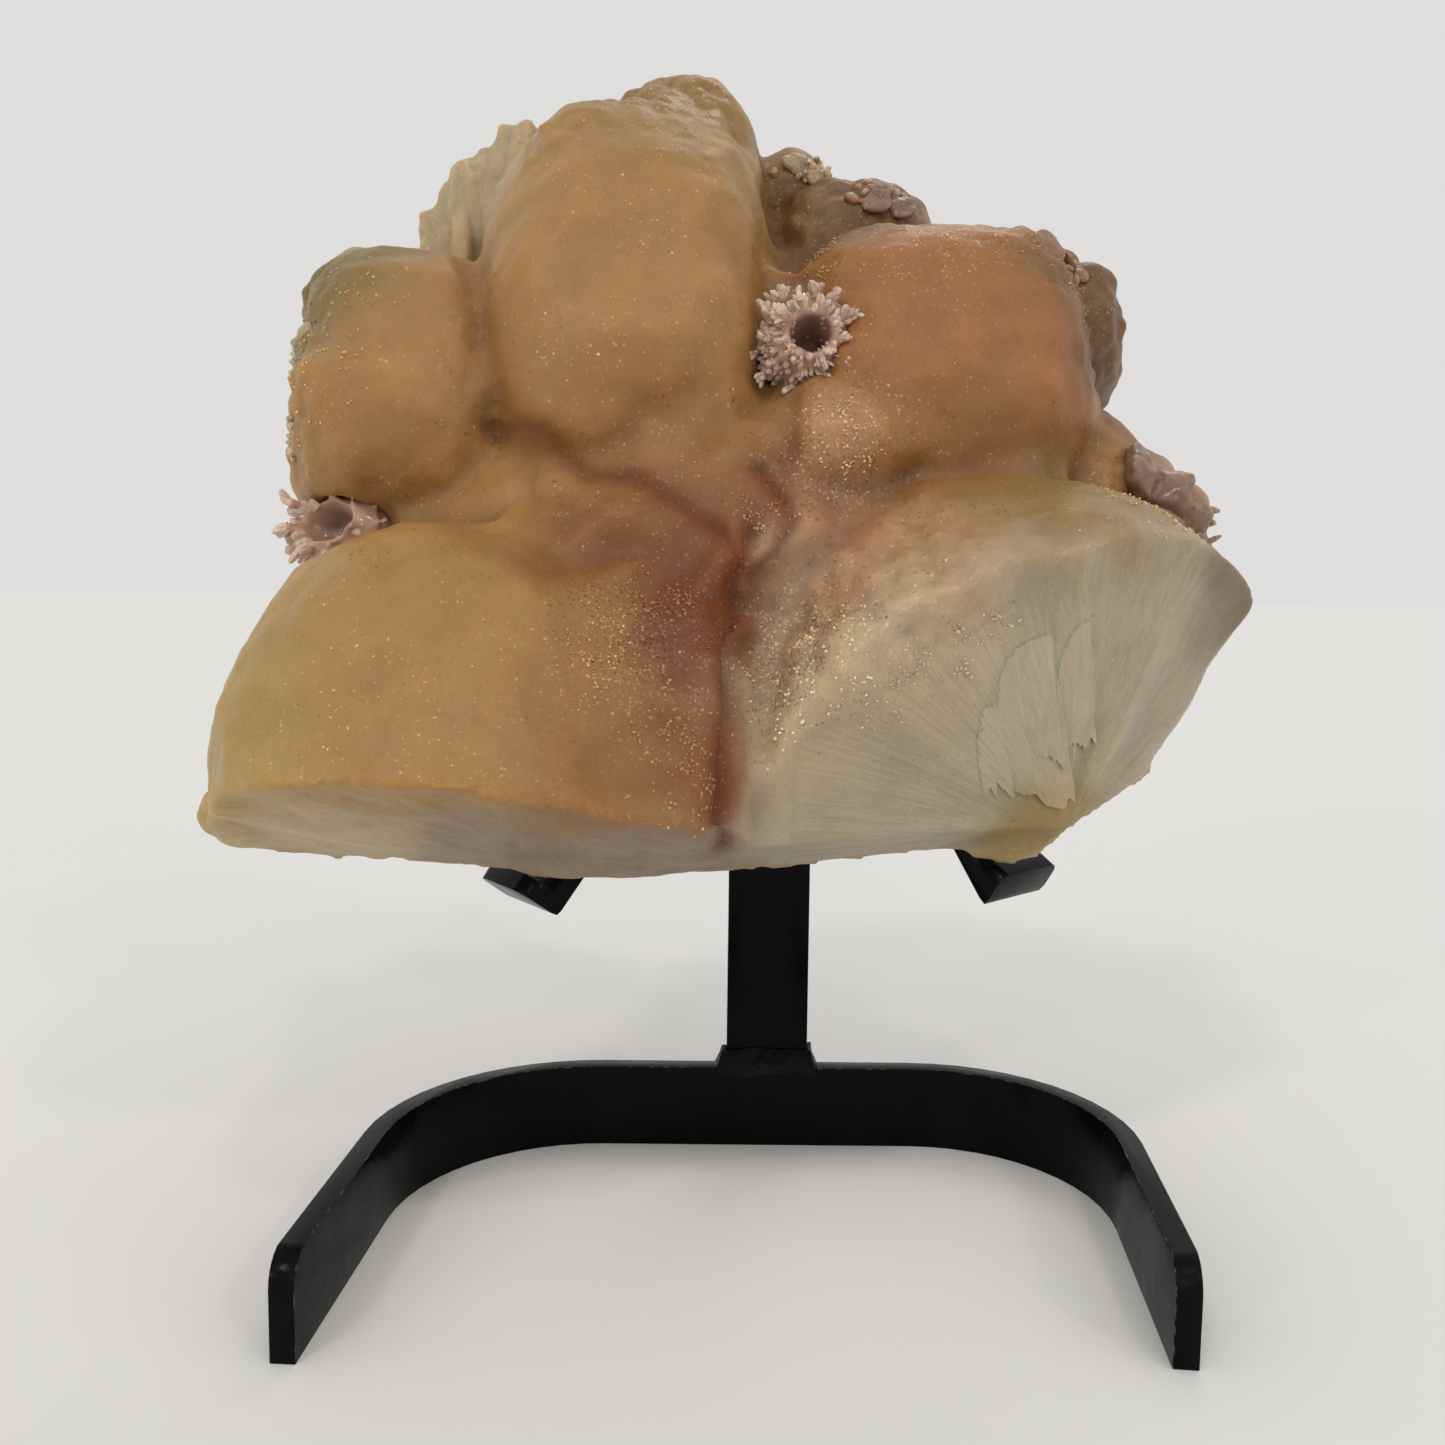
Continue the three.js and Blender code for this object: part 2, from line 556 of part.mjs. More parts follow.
function specimenBody() {
  const inverse = specimenMatrix().invert();
  const whole = [TOP_BALL, LEFT_BALL, RIGHT_BALL, LOWER_LEFT_BALL, WAIST, CENTRE, ...RIM_BALLS];
  const balls = whole.map((ball) => solid(ballGeometry(ball)));
  const behind = fuse([hollowFill(), solid(ballGeometry(CORE)), solid(ballGeometry(BROKEN_BALL))]);
  const broken = cut(behind, BREAKS.map(fanWaste));
  const grown = cut(fuse([broken, ...balls, ...BLADE_TIPS.map(blade)]), UNDERSIDES.map(fanWaste));
  const lumps = LUMPS.map((lump) => solid(ballGeometry(lump)));
  const bars = [RIGHT_ARM, LEFT_ARM].map((arm) => solid(armGeometry(arm, GAP).applyMatrix4(inverse)));
  const laid = cut(fuse([grown, ...lumps]), [backWaste(), ...bars]);
  return cut(fuse([laid, ...SPRAYS.map(spray)]), [druse(ROSETTE, GAP), druse(POCKET, GAP)]);
}

// Scene graph

function piece(name, body, finish) {
  const mesh = new THREE.Mesh(geometryOf(body), new THREE.MeshStandardMaterial(finish));
  mesh.name = name;
  return mesh;
}

const stand = new THREE.Group();
stand.add(
  piece('base_bar', baseBar(), PAINT),
  piece('upright_bar', solid(uprightGeometry()), PAINT),
  piece('right_arm', armBody(RIGHT_ARM), PAINT),
  piece('left_arm', armBody(LEFT_ARM), PAINT),
  piece('foot_weld', footWeld(), PAINT),
  piece('head_weld', headWeld(), PAINT),
);

const specimen = new THREE.Group();
specimen.add(
  piece('stilbite_mass', specimenBody(), STILBITE),
  piece('quartz_rosette', druseBody(ROSETTE), QUARTZ),
  piece('quartz_pocket', druseBody(POCKET), QUARTZ),
);
specimen.rotation.x = -radians(SPECIMEN_LEAN);
specimen.position.set(...SPECIMEN_SEAT);

const cluster = new THREE.Group();
cluster.add(stand, specimen);

export default cluster;
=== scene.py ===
"""Stilbite cluster on a black flat-bar stand: its finished look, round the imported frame.

Everything is in metres in the frame's own axes. Sizes of the specimen are in millimetres in its own
leaning frame: across, out from its back plane, and up its slope.
"""

import logging
import math
from collections.abc import Iterator, Sequence
from contextlib import contextmanager
from dataclasses import dataclass, field
from enum import Enum

import bpy
import numpy as np
from mathutils import Matrix, Vector, noise
from mathutils.bvhtree import BVHTree


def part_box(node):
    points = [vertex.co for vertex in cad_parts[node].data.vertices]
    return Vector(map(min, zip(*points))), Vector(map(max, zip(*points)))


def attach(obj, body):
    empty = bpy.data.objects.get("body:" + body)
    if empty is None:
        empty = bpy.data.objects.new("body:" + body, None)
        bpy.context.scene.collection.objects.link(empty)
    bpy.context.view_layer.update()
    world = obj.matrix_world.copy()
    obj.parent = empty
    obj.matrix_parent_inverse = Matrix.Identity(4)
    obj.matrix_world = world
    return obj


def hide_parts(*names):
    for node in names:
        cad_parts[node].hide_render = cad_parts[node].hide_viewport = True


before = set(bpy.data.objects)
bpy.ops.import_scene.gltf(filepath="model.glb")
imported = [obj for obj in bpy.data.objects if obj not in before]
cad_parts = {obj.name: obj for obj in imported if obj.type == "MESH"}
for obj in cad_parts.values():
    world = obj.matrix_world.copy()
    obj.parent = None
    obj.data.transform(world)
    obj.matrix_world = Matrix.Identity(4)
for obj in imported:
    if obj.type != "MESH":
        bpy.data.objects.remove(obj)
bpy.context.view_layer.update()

log = logging.getLogger("stilbite")
MM = 0.001
FULL_TURN = 6.28
Pair = tuple[float, float]
Spot = tuple[float, float, float]
Shade = tuple[float, float, float, float]
Array = np.ndarray
Piece = bpy.types.Object
Socket = bpy.types.NodeSocket
Value = Socket | float | tuple


class Finish(Enum):
    """Names of the material slots, which this script does not use."""

    PAINT = "black_paint"
    STILBITE = "stilbite"
    QUARTZ = "quartz"


class Tint(Enum):
    """Colours of the specimen and one painted shade for its creases, as red, green and blue from 0 to 255."""

    HONEY = (168, 140, 82)
    AMBER = (162, 125, 70)
    STRAW = (141, 108, 54)
    CORAL = (155, 103, 56)
    APRICOT = (168, 129, 92)
    MOSS = (147, 127, 78)
    FAWN = (150, 108, 60)
    PEACH = (162, 122, 70)
    TAN = (146, 104, 55)
    OLIVE = (140, 112, 66)
    TAWNY = (105, 74, 38)
    RUSSET = (129, 82, 38)
    RUST = (112, 58, 18)
    # Painted shade: the dark brown that creases and hollows are darkened towards.
    UMBER = (100, 42, 3)
    BLUSH = (164, 118, 86)
    SHELL = (176, 147, 116)
    CREAM = (184, 165, 134)
    PEARL = (168, 157, 135)
    SILK = (170, 149, 114)
    DUSK = (148, 130, 110)
    LICHEN = (119, 102, 57)
    SMOKE = (104, 88, 62)
    LILAC = (150, 120, 98)

    def linear(self) -> Array:
        """The tint as linear light."""
        c = np.array(self.value, float) / 255
        return np.where(c <= 0.04045, c / 12.92, ((c + 0.055) / 1.055) ** 2.4)


# Helpers for meshes


def only(*pieces: Piece) -> None:
    """Selects pieces alone.

    Args:
        pieces: the pieces, the first of which is made active.
    """
    bpy.ops.object.select_all(action="DESELECT")
    for piece in pieces:
        piece.select_set(True)
    bpy.context.view_layer.objects.active = pieces[0]


@contextmanager
def editing(piece: Piece) -> Iterator[None]:
    """Edits a piece, with all of its mesh selected at first.

    Args:
        piece: the mesh object.
    """
    only(piece)
    bpy.ops.object.mode_set(mode="EDIT")
    bpy.ops.mesh.select_all(action="SELECT")
    yield
    bpy.ops.object.mode_set(mode="OBJECT")


def shown(name: str, data: bpy.types.ID) -> Piece:
    """Makes an object and puts it in the scene.

    Args:
        name: its name.
        data: its mesh, camera or light.

    Returns:
        The object.
    """
    piece = bpy.data.objects.new(name, data)
    bpy.context.collection.objects.link(piece)
    return piece


def apply(piece: Piece, kind: str, **settings: object) -> None:
    """Adds a modifier to a piece and applies it.

    Args:
        piece: the mesh object.
        kind: the modifier's type.
        settings: its values by name.
    """
    only(piece)
    modifier = piece.modifiers.new(kind.lower(), kind)
    for name, value in settings.items():
        setattr(modifier, name, value)
    bpy.ops.object.modifier_apply(modifier=modifier.name)


def merged_copy(node: str, name: str) -> Piece:
    """Copies a node and joins its loose triangles.

    Args:
        node: the node's name.
        name: the new piece's name.

    Returns:
        The copy, at the origin with its place in its mesh.
    """
    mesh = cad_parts[node].data.copy()
    mesh.materials.clear()
    piece = shown(name, mesh)
    with editing(piece):
        bpy.ops.mesh.customdata_custom_splitnormals_clear()
        bpy.ops.mesh.remove_doubles(threshold=1e-6)
    return piece


def rows(items: Sequence, name: str, width: int) -> Array:
    """Reads a value of each point, edge, face or attribute entry of a mesh.

    Args:
        items: the entries.
        name: the value's name.
        width: how many numbers it has.

    Returns:
        One row for each entry.
    """
    flat = np.empty(len(items) * width)
    items.foreach_get(name, flat)
    return flat.reshape(-1, width)


def positions(piece: Piece) -> Array:
    """The piece's points, one row each."""
    return rows(piece.data.vertices, "co", 3)


def normals(piece: Piece) -> Array:
    """The piece's outward direction at each point."""
    return rows(piece.data.vertices, "normal", 3)


def place(piece: Piece, points: Array) -> None:
    """Moves the piece's points there."""
    piece.data.vertices.foreach_set("co", np.ascontiguousarray(points, float).ravel())
    piece.data.update()


def blurred(piece: Piece, values: Array, times: int) -> Array:
    """Evens out values at the points over their neighbours.

    Args:
        piece: the mesh object.
        values: one row for each point.
        times: how often they are evened.

    Returns:
        The evened values.
    """
    a, b = rows(piece.data.edges, "vertices", 2).astype(int).T
    count = len(values)
    share = np.bincount(a, minlength=count) + np.bincount(b, minlength=count)
    for _ in range(times):
        total = [
            np.bincount(a, weights=column[b], minlength=count)
            + np.bincount(b, weights=column[a], minlength=count)
            for column in values.T
        ]
        values = 0.5 * values + 0.5 * np.stack(total, axis=1) / np.maximum(share, 1)[:, None]
    return values


def remesh(piece: Piece, size: float, times: int) -> None:
    """Makes the piece of even faces and smooths it.

    Args:
        piece: the mesh object.
        size: the faces' width in millimetres.
        times: how often its points are evened.
    """
    apply(piece, "REMESH", mode="VOXEL", voxel_size=size * MM, adaptivity=0.0)
    place(piece, blurred(piece, positions(piece), times))


def swell(piece: Piece, height: Array, low: Array, high: Array) -> None:
    """Moves the piece's points outwards, and keeps them in a box.

    Args:
        piece: the mesh object.
        height: how far each point moves, in millimetres.
        low: the box's lowest corner.
        high: its highest corner.
    """
    points = positions(piece) + normals(piece) * (height * MM)[:, None]
    place(piece, np.clip(points, low, high))


def swirl(points: Array, size: float, seed: float) -> Array:
    """Soft noise from -1 to 1, with lumps of a size in the points' unit."""
    return np.array([noise.noise(Vector(row)) for row in points / size + seed * 7.31])


def cells(points: Array, size: float, seed: float) -> Array:
    """Distance to the nearest of seeds scattered a size apart, from 0 at a seed."""
    return np.array([noise.voronoi(Vector(row))[0][0] for row in points / size + seed * 5.17])


def step(value: Array, start: float, end: float) -> Array:
    """From 0 where a value is at start or before, to 1 where it is at end or past it."""
    return np.clip((value - start) / (end - start), 0, 1)


def apart(spots: Array, at: Spot, reach: float = 1) -> Array:
    """Squared distance of each spot from a place, in reaches."""
    return np.sum((spots - np.array(at)) ** 2, axis=1) / reach**2


def paint(piece: Piece, name: str, values: Array) -> None:
    """Stores a value, a vector or a colour at each point of the piece.

    Args:
        piece: the mesh object.
        name: the attribute's name.
        values: one row for each point, of one, three or four columns.
    """
    kinds = {1: ("FLOAT", "value"), 3: ("FLOAT_VECTOR", "vector"), 4: ("FLOAT_COLOR", "color")}
    kind, key = kinds[1 if values.ndim == 1 else values.shape[1]]
    attribute = piece.data.attributes.new(name, kind, "POINT")
    attribute.data.foreach_set(key, np.ascontiguousarray(values, np.float32).ravel())


def paint_tint(piece: Piece, tint: Array) -> None:
    """Stores the piece's tint, as linear light."""
    paint(piece, "tint", np.hstack([tint, np.ones((len(tint), 1))]))


def smooth(piece: Piece, angle: float = 180) -> None:
    """Shades the piece smooth, apart from edges sharper than an angle.

    Args:
        piece: the mesh object.
        angle: the angle in degrees, 180 for no sharp edges.
    """
    only(piece)
    if angle >= 180:
        bpy.ops.object.shade_smooth()
    else:
        bpy.ops.object.shade_smooth_by_angle(angle=math.radians(angle))


def hand_over(piece: Piece, material: bpy.types.Material, node: str = "") -> None:
    """Args:
        piece: the mesh object.
        material: its material.
        node: the node that it replaces, if any.
    """
    piece.data.materials.append(material)
    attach(piece, "root")
    if node:
        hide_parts(node)
    log.info("%s: %d faces", piece.name, len(piece.data.polygons))


# The specimen's own frame


@dataclass(frozen=True)
class Slope:
    """The specimen's leaning frame, from where its back plane meets its seat."""

    lean: float = 27.5
    seat: Spot = (0, -70.3, 101)

    @property
    def axes(self) -> Array:
        """Rows of across, out and up in the frame's axes."""
        a = math.radians(self.lean)
        return np.array([(1, 0, 0), (0, -math.cos(a), math.sin(a)), (0, math.sin(a), math.cos(a))])

    def world(self, spots: Array | Spot) -> Array:
        """Places in metres of spots in the specimen's frame."""
        return (np.array(self.seat) + np.atleast_2d(spots) @ self.axes) * MM

    def local(self, points: Array) -> Array:
        """Spots in the specimen's frame, in millimetres, of points in metres."""
        return (np.atleast_2d(points) / MM - np.array(self.seat)) @ self.axes.T

    def turn(self, direction: Array | Spot) -> Array:
        """A direction of the specimen's frame in the frame's axes."""
        return np.array(direction, float) @ self.axes


SLOPE = Slope()


# Shader helpers


class Tree:
    """Adds nodes to a shader tree and joins them."""

    def __init__(self, tree: bpy.types.NodeTree) -> None:
        """Starts on an existing tree."""
        self.tree = tree

    def feed(self, node: bpy.types.Node, inputs: dict[str | int, Value]) -> None:
        """Sets a node's inputs.

        Args:
            node: the node.
            inputs: a value or another node's output for each input, by name or number.
        """
        for name, value in inputs.items():
            if isinstance(value, Socket):
                self.tree.links.new(value, node.inputs[name])
            else:
                node.inputs[name].default_value = value

    def add(
        self, kind: str, inputs: dict[str | int, Value] | None = None, **settings: object
    ) -> bpy.types.Node:
        """Adds a node.

        Args:
            kind: the node's type without its ShaderNode prefix.
            inputs: a value or another node's output for each input, by name or number.
            settings: the node's own values.

        Returns:
            The node.
        """
        prefix = "" if kind.startswith("NodeGroup") else "ShaderNode"
        node = self.tree.nodes.new(prefix + kind)
        for name, value in settings.items():
            setattr(node, name, value)
        self.feed(node, inputs or {})
        return node

    def math(self, operation: str, a: Value, b: Value = 0.0, c: Value = 0.0) -> Socket:
        """A Math node's output."""
        return self.add("Math", {0: a, 1: b, 2: c}, operation=operation).outputs[0]

    def times(self, a: Value, b: Value) -> Socket:
        """One value times another."""
        return self.math("MULTIPLY", a, b)

    def plus(self, a: Value, b: Value) -> Socket:
        """The sum of two values."""
        return self.math("ADD", a, b)

    def vector(self, operation: str, inputs: dict[str | int, Value]) -> Socket:
        """A Vector Math node's output."""
        return self.add("VectorMath", inputs, operation=operation).outputs[0]

    def mix(self, factor: Value, a: Value, b: Value) -> Socket:
        """A mix of two colours."""
        return self.add("Mix", {0: factor, 6: a, 7: b}, data_type="RGBA").outputs[2]

    def ramp(self, value: Value, low: float, high: float, start: float = 0.0, end: float = 1.0) -> Socket:
        """The value stretched from low and high to start and end, and kept between them."""
        return self.add("MapRange", {0: value, 1: low, 2: high, 3: start, 4: end}).outputs[0]

    def attribute(self, name: str, output: str = "Fac") -> Socket:
        """An attribute of the piece."""
        return self.add("Attribute", attribute_name=name).outputs[output]

    def here(self) -> Socket:
        """The place on the piece, in metres."""
        return self.add("TexCoord").outputs["Object"]

    def noise(self, where: Socket, scale: Value, detail: float = 2.0, rough: float = 0.5) -> Socket:
        """A noise's value at a place."""
        inputs = {"Vector": where, "Scale": scale, "Detail": detail, "Roughness": rough}
        return self.add("TexNoise", inputs).outputs["Fac"]

    def group(self, name: str, inputs: dict[str | int, Value]) -> Sequence[Socket]:
        """The outputs of a shared group."""
        return self.add("Group", inputs, node_tree=bpy.data.node_groups[name]).outputs


def new_group(
    name: str, takes: Sequence[str], gives: dict[str, str]
) -> tuple[Tree, Sequence[Socket], bpy.types.Node]:
    """Starts a shader node group.

    Args:
        name: the group's name.
        takes: its inputs, which are all numbers.
        gives: the kind of each output.

    Returns:
        The group's tree wrapped for building, its inputs' sockets and its output node.
    """
    tree = bpy.data.node_groups.new(name, "ShaderNodeTree")
    for socket in takes:
        tree.interface.new_socket(socket, in_out="INPUT", socket_type="NodeSocketFloat")
    for socket, kind in gives.items():
        tree.interface.new_socket(socket, in_out="OUTPUT", socket_type="NodeSocket" + kind)
    build = Tree(tree)
    return build, build.add("NodeGroupInput").outputs, build.add("NodeGroupOutput")


def facet_group() -> None:
    """Builds the group of tiny crystal faces: cells of the surface that each tilt their own way."""
    gives = {"Normal": "Vector", "Mask": "Float"}
    build, given, out = new_group("crystal_facets", ("Scale", "Tilt", "Share"), gives)
    inputs = {"Vector": build.here(), "Scale": given["Scale"], "Randomness": 1.0}
    cell = build.add("TexVoronoi", inputs).outputs["Color"]
    dice = build.add("TexWhiteNoise", {"Vector": cell}, noise_dimensions="3D").outputs["Value"]
    picked = build.math("LESS_THAN", dice, given["Share"])
    lean = build.vector("SUBTRACT", {0: cell, 1: (0.5, 0.5, 0.5)})
    tilt = build.vector("SCALE", {0: lean, "Scale": build.times(picked, given["Tilt"])})
    tilted = build.vector("ADD", {0: build.add("NewGeometry").outputs["Normal"], 1: tilt})
    build.feed(out, {"Normal": build.vector("NORMALIZE", {0: tilted}), "Mask": picked})


def grain_group() -> None:
    """Builds the group of fine grain and soft mottling."""
    gives = {"Height": "Float", "Fine": "Float", "Broad": "Float"}
    build, given, out = new_group("stone_grain", ("Fine", "Broad"), gives)
    where = build.here()
    fine = build.noise(where, given["Fine"], 3.0)
    middle = build.noise(where, build.times(given["Fine"], 0.35))
    broad = build.noise(where, given["Broad"])
    build.feed(out, {"Height": build.plus(fine, middle), "Fine": fine, "Broad": broad})


def new_material(name: str) -> tuple[bpy.types.Material, Tree, bpy.types.Node]:
    """Starts a material.

    Args:
        name: the material's name.

    Returns:
        The material, its tree wrapped for building, and its Principled shader.
    """
    material = bpy.data.materials.new(name)
    material.use_nodes = True
    material.node_tree.nodes.clear()
    build = Tree(material.node_tree)
    shader = build.add("BsdfPrincipled")
    build.add("OutputMaterial", {"Surface": shader.outputs[0]})
    return material, build, shader


# Finishes


@dataclass(frozen=True)
class BlackPaint:
    """Satin black enamel, thin and scuffed along the edges, where a lighter grey is partly scuffed paint and
    partly painted highlight, dusty and a little wavy.
    """

    color: Shade = (0.0022, 0.0025, 0.0029, 1)
    # Lighter grey of the rounded edges: partly scuffed paint, partly painted highlight.
    worn_and_highlight: Shade = (0.09, 0.09, 0.088, 1)
    dust: Shade = (0.018, 0.019, 0.02, 1)
    dusting: float = 0.08
    roughness: float = 0.24
    specular: float = 0.07
    peel: float = 0.12

    def material(self, name: str) -> bpy.types.Material:
        """Builds the paint, which reads where the edges are from the piece.

        Args:
            name: the material's name.

        Returns:
            The material.
        """
        material, build, shader = new_material(name)
        grain = build.group("stone_grain", {"Fine": 420, "Broad": 55})
        # The edges' lighter grey, in chips: partly scuffed paint, partly painted highlight.
        wear_and_highlight = build.times(build.attribute("edge"), build.ramp(grain["Fine"], 0.52, 0.62))
        dusty = build.ramp(grain["Broad"], 0.4, 0.75, 0.0, self.dusting)
        color = build.mix(wear_and_highlight, build.mix(dusty, self.color, self.dust), self.worn_and_highlight)
        rough = build.ramp(grain["Broad"], 0.3, 0.7, self.roughness - 0.07, self.roughness + 0.1)
        inputs = {"Height": grain["Height"], "Strength": self.peel, "Distance": 0.0006}
        build.feed(shader, {
            "Base Color": color, "Roughness": rough, "Normal": build.add("Bump", inputs).outputs[0],
            "Specular IOR Level": self.specular,
        })
        return material


@dataclass(frozen=True)
class StilbiteFinish:
    """Waxy translucent crystal skin with tiny glinting faces, and silky broken faces."""

    glow: Spot = (1.0, 0.6, 0.38)
    depth: float = 0.006
    weight: float = 1.0
    roughness: float = 0.42
    facet: float = 1900
    facet_share: float = 0.2
    facet_tilt: float = 0.8
    pearl: float = 0.6
    # Painted highlight: the pale gold that tilted facet cells are mixed towards, so that their glints read
    # whitish gold.
    pale: Shade = (0.8, 0.7, 0.5, 1)
    dirt: Shade = (0.02, 0.012, 0.008, 1)
    bump: float = 0.36

    def material(self, name: str) -> bpy.types.Material:
        """Builds the crystal's material, which reads tint, silk, glint, crease and fibre from the piece.

        Args:
            name: the material's name.

        Returns:
            The material.
        """
        material, build, shader = new_material(name)
        silk, glint = build.attribute("silk"), build.attribute("glint")
        grain = build.group("stone_grain", {"Fine": 1300, "Broad": 70})
        share = build.times(glint, self.facet_share)
        facets = build.group("crystal_facets", {"Scale": self.facet, "Tilt": self.facet_tilt, "Share": share})
        wet = build.ramp(glint, 0.4, 1.5)
        ripple = build.noise(build.here(), 640.0, 1.5)
        streak = build.noise(build.attribute("fibre", "Vector"), 1.0, 4.0, 0.6)
        mottle = build.ramp(grain["Broad"], 0.3, 0.7, 0.93, 1.06)
        grainy = build.ramp(grain["Fine"], 0.3, 0.7, 0.94, 1.06)
        streaky = build.math("SUBTRACT", build.ramp(streak, 0.3, 0.7, 0.88, 1.1), 1.0)
        shade = build.plus(build.times(mottle, grainy), build.times(silk, streaky))
        shaded = build.vector("SCALE", {0: build.attribute("tint", "Color"), "Scale": shade})
        # The facet mask gives the cells a pearly metallic lustre, and mixes their colour a little towards
        # pale gold as painted highlight.
        pearly = build.times(facets["Mask"], self.pearl)
        color = build.mix(build.times(pearly, 0.2), shaded, self.pale)
        gloss = build.plus(build.times(facets["Mask"], 0.1), build.times(wet, 0.12))
        dull = build.plus(self.roughness, build.times(build.attribute("crease"), 0.4))
        waves = build.times(ripple, build.math("MULTIPLY_ADD", wet, 2.2, 0.7))
        bumps = build.plus(build.times(grain["Height"], 0.6), waves)
        height = build.add("Mix", {0: silk, 2: bumps, 3: build.times(streak, 1.6)}).outputs[0]
        bump = {"Height": height, "Normal": facets["Normal"], "Strength": self.bump, "Distance": 0.0004}
        build.feed(shader, {
            "Base Color": build.mix(self.specks(build), color, self.dirt),
            "Roughness": build.math("SUBTRACT", dull, gloss), "Metallic": pearly,
            "Normal": build.add("Bump", bump).outputs[0], "Specular IOR Level": 0.4,
            "Subsurface Weight": self.weight, "Subsurface Radius": self.glow, "Subsurface Scale": self.depth,
        })
        return material

    @staticmethod
    def specks(build: Tree) -> Socket:
        """Makes a mask of a few dark specks of dirt.

        Args:
            build: the material's tree.

        Returns:
            The mask.
        """
        inputs = {"Vector": build.here(), "Scale": 85.0, "Randomness": 1.0}
        spot = build.add("TexVoronoi", inputs).outputs
        dice = build.add("TexWhiteNoise", {"Vector": spot["Color"]}, noise_dimensions="3D").outputs["Value"]
        small = build.math("LESS_THAN", spot["Distance"], 0.026)
        return build.times(small, build.math("LESS_THAN", dice, 0.22))


@dataclass(frozen=True)
class CrystalFinish:
    """Small crystals, each in its own tint: pearly, or clear at their tips and milky at their roots."""

    roughness: float
    rough: Pair = (0.6, 1.6)
    haze: Pair = (0.86, 1.1)
    fine: float = 900
    broad: float = 160
    bump: float = 0.15
    own: dict[str, Value] = field(default_factory=dict)

    def material(self, name: str) -> bpy.types.Material:
        """Builds the crystals' material.

        Args:
            name: the material's name.

        Returns:
            The material.
        """
        material, build, shader = new_material(name)
        grain = build.group("stone_grain", {"Fine": self.fine, "Broad": self.broad})
        haze = build.ramp(grain["Broad"], 0.3, 0.7, *self.haze)
        rough = build.ramp(grain["Fine"], 0.3, 0.7, *(self.roughness * share for share in self.rough))
        build.feed(shader, {
            "Base Color": build.vector("SCALE", {0: build.attribute("tint", "Color"), "Scale": haze}),
            "Roughness": rough, **self.own,
        })
        if self.bump:
            bump = {"Height": grain["Fine"], "Strength": self.bump, "Distance": 0.0003}
            build.feed(shader, {"Normal": build.add("Bump", bump).outputs[0]})
        return material


def quartz(clear: float, milk: float, depth: float, roughness: float) -> CrystalFinish:
    """Makes a finish of pale lilac quartz.

    Args:
        clear: how much light it lets through, from 0 to 1.
        milk: how milky it is inside, from 0 to 1.
        depth: how deep the light goes in the milk, in metres.
        roughness: how rough its faces are.

    Returns:
        The finish.
    """
    radius = (1.0, 0.95, 0.9)
    return CrystalFinish(roughness, own={
        "Subsurface Weight": milk, "Subsurface Radius": radius, "Subsurface Scale": depth,
        "Transmission Weight": clear, "IOR": 1.54,
    })


# The stand


@dataclass(frozen=True)
class Stand:
    """The welded stand of flat bar, with the rounds of its edges in millimetres."""

    edge: float = 0.7
    weld_edge: float = 0.35

    def build(self) -> None:
        """Makes the bars and the welds."""
        enamel = BlackPaint().material("black_enamel")
        on_welds = BlackPaint(roughness=0.38, peel=0.5).material("black_enamel_on_welds")
        for node in ("base_bar", "upright_bar", "right_arm", "left_arm", "foot_weld", "head_weld"):
            weld = node.endswith("weld")
            piece = merged_copy(node, node + "_painted")
            self.ease(piece, self.weld_edge if weld else self.edge)
            smooth(piece, 40)
            hand_over(piece, on_welds if weld else enamel, node)

    @staticmethod
    def ease(piece: Piece, width: float) -> None:
        """Rounds the piece's sharp edges and marks them for the lighter grey of scuffs and painted highlight.

        Args:
            piece: the bar or weld.
            width: the round's size in millimetres.
        """
        mesh = piece.data
        for _ in range(2):
            mesh.materials.append(None)
        apply(
            piece, "BEVEL", width=width * MM, segments=3, limit_method="ANGLE",
            angle_limit=math.radians(35), material=1, harden_normals=False,
        )
        marked = mesh.attributes.new("edge", "FLOAT", "FACE")
        marked.data.foreach_set("value", rows(mesh.polygons, "material_index", 1).ravel())
        mesh.polygons.foreach_set("material_index", np.zeros(len(mesh.polygons), int))
        mesh.materials.clear()


# The specimen's places: across, out and up in its own frame

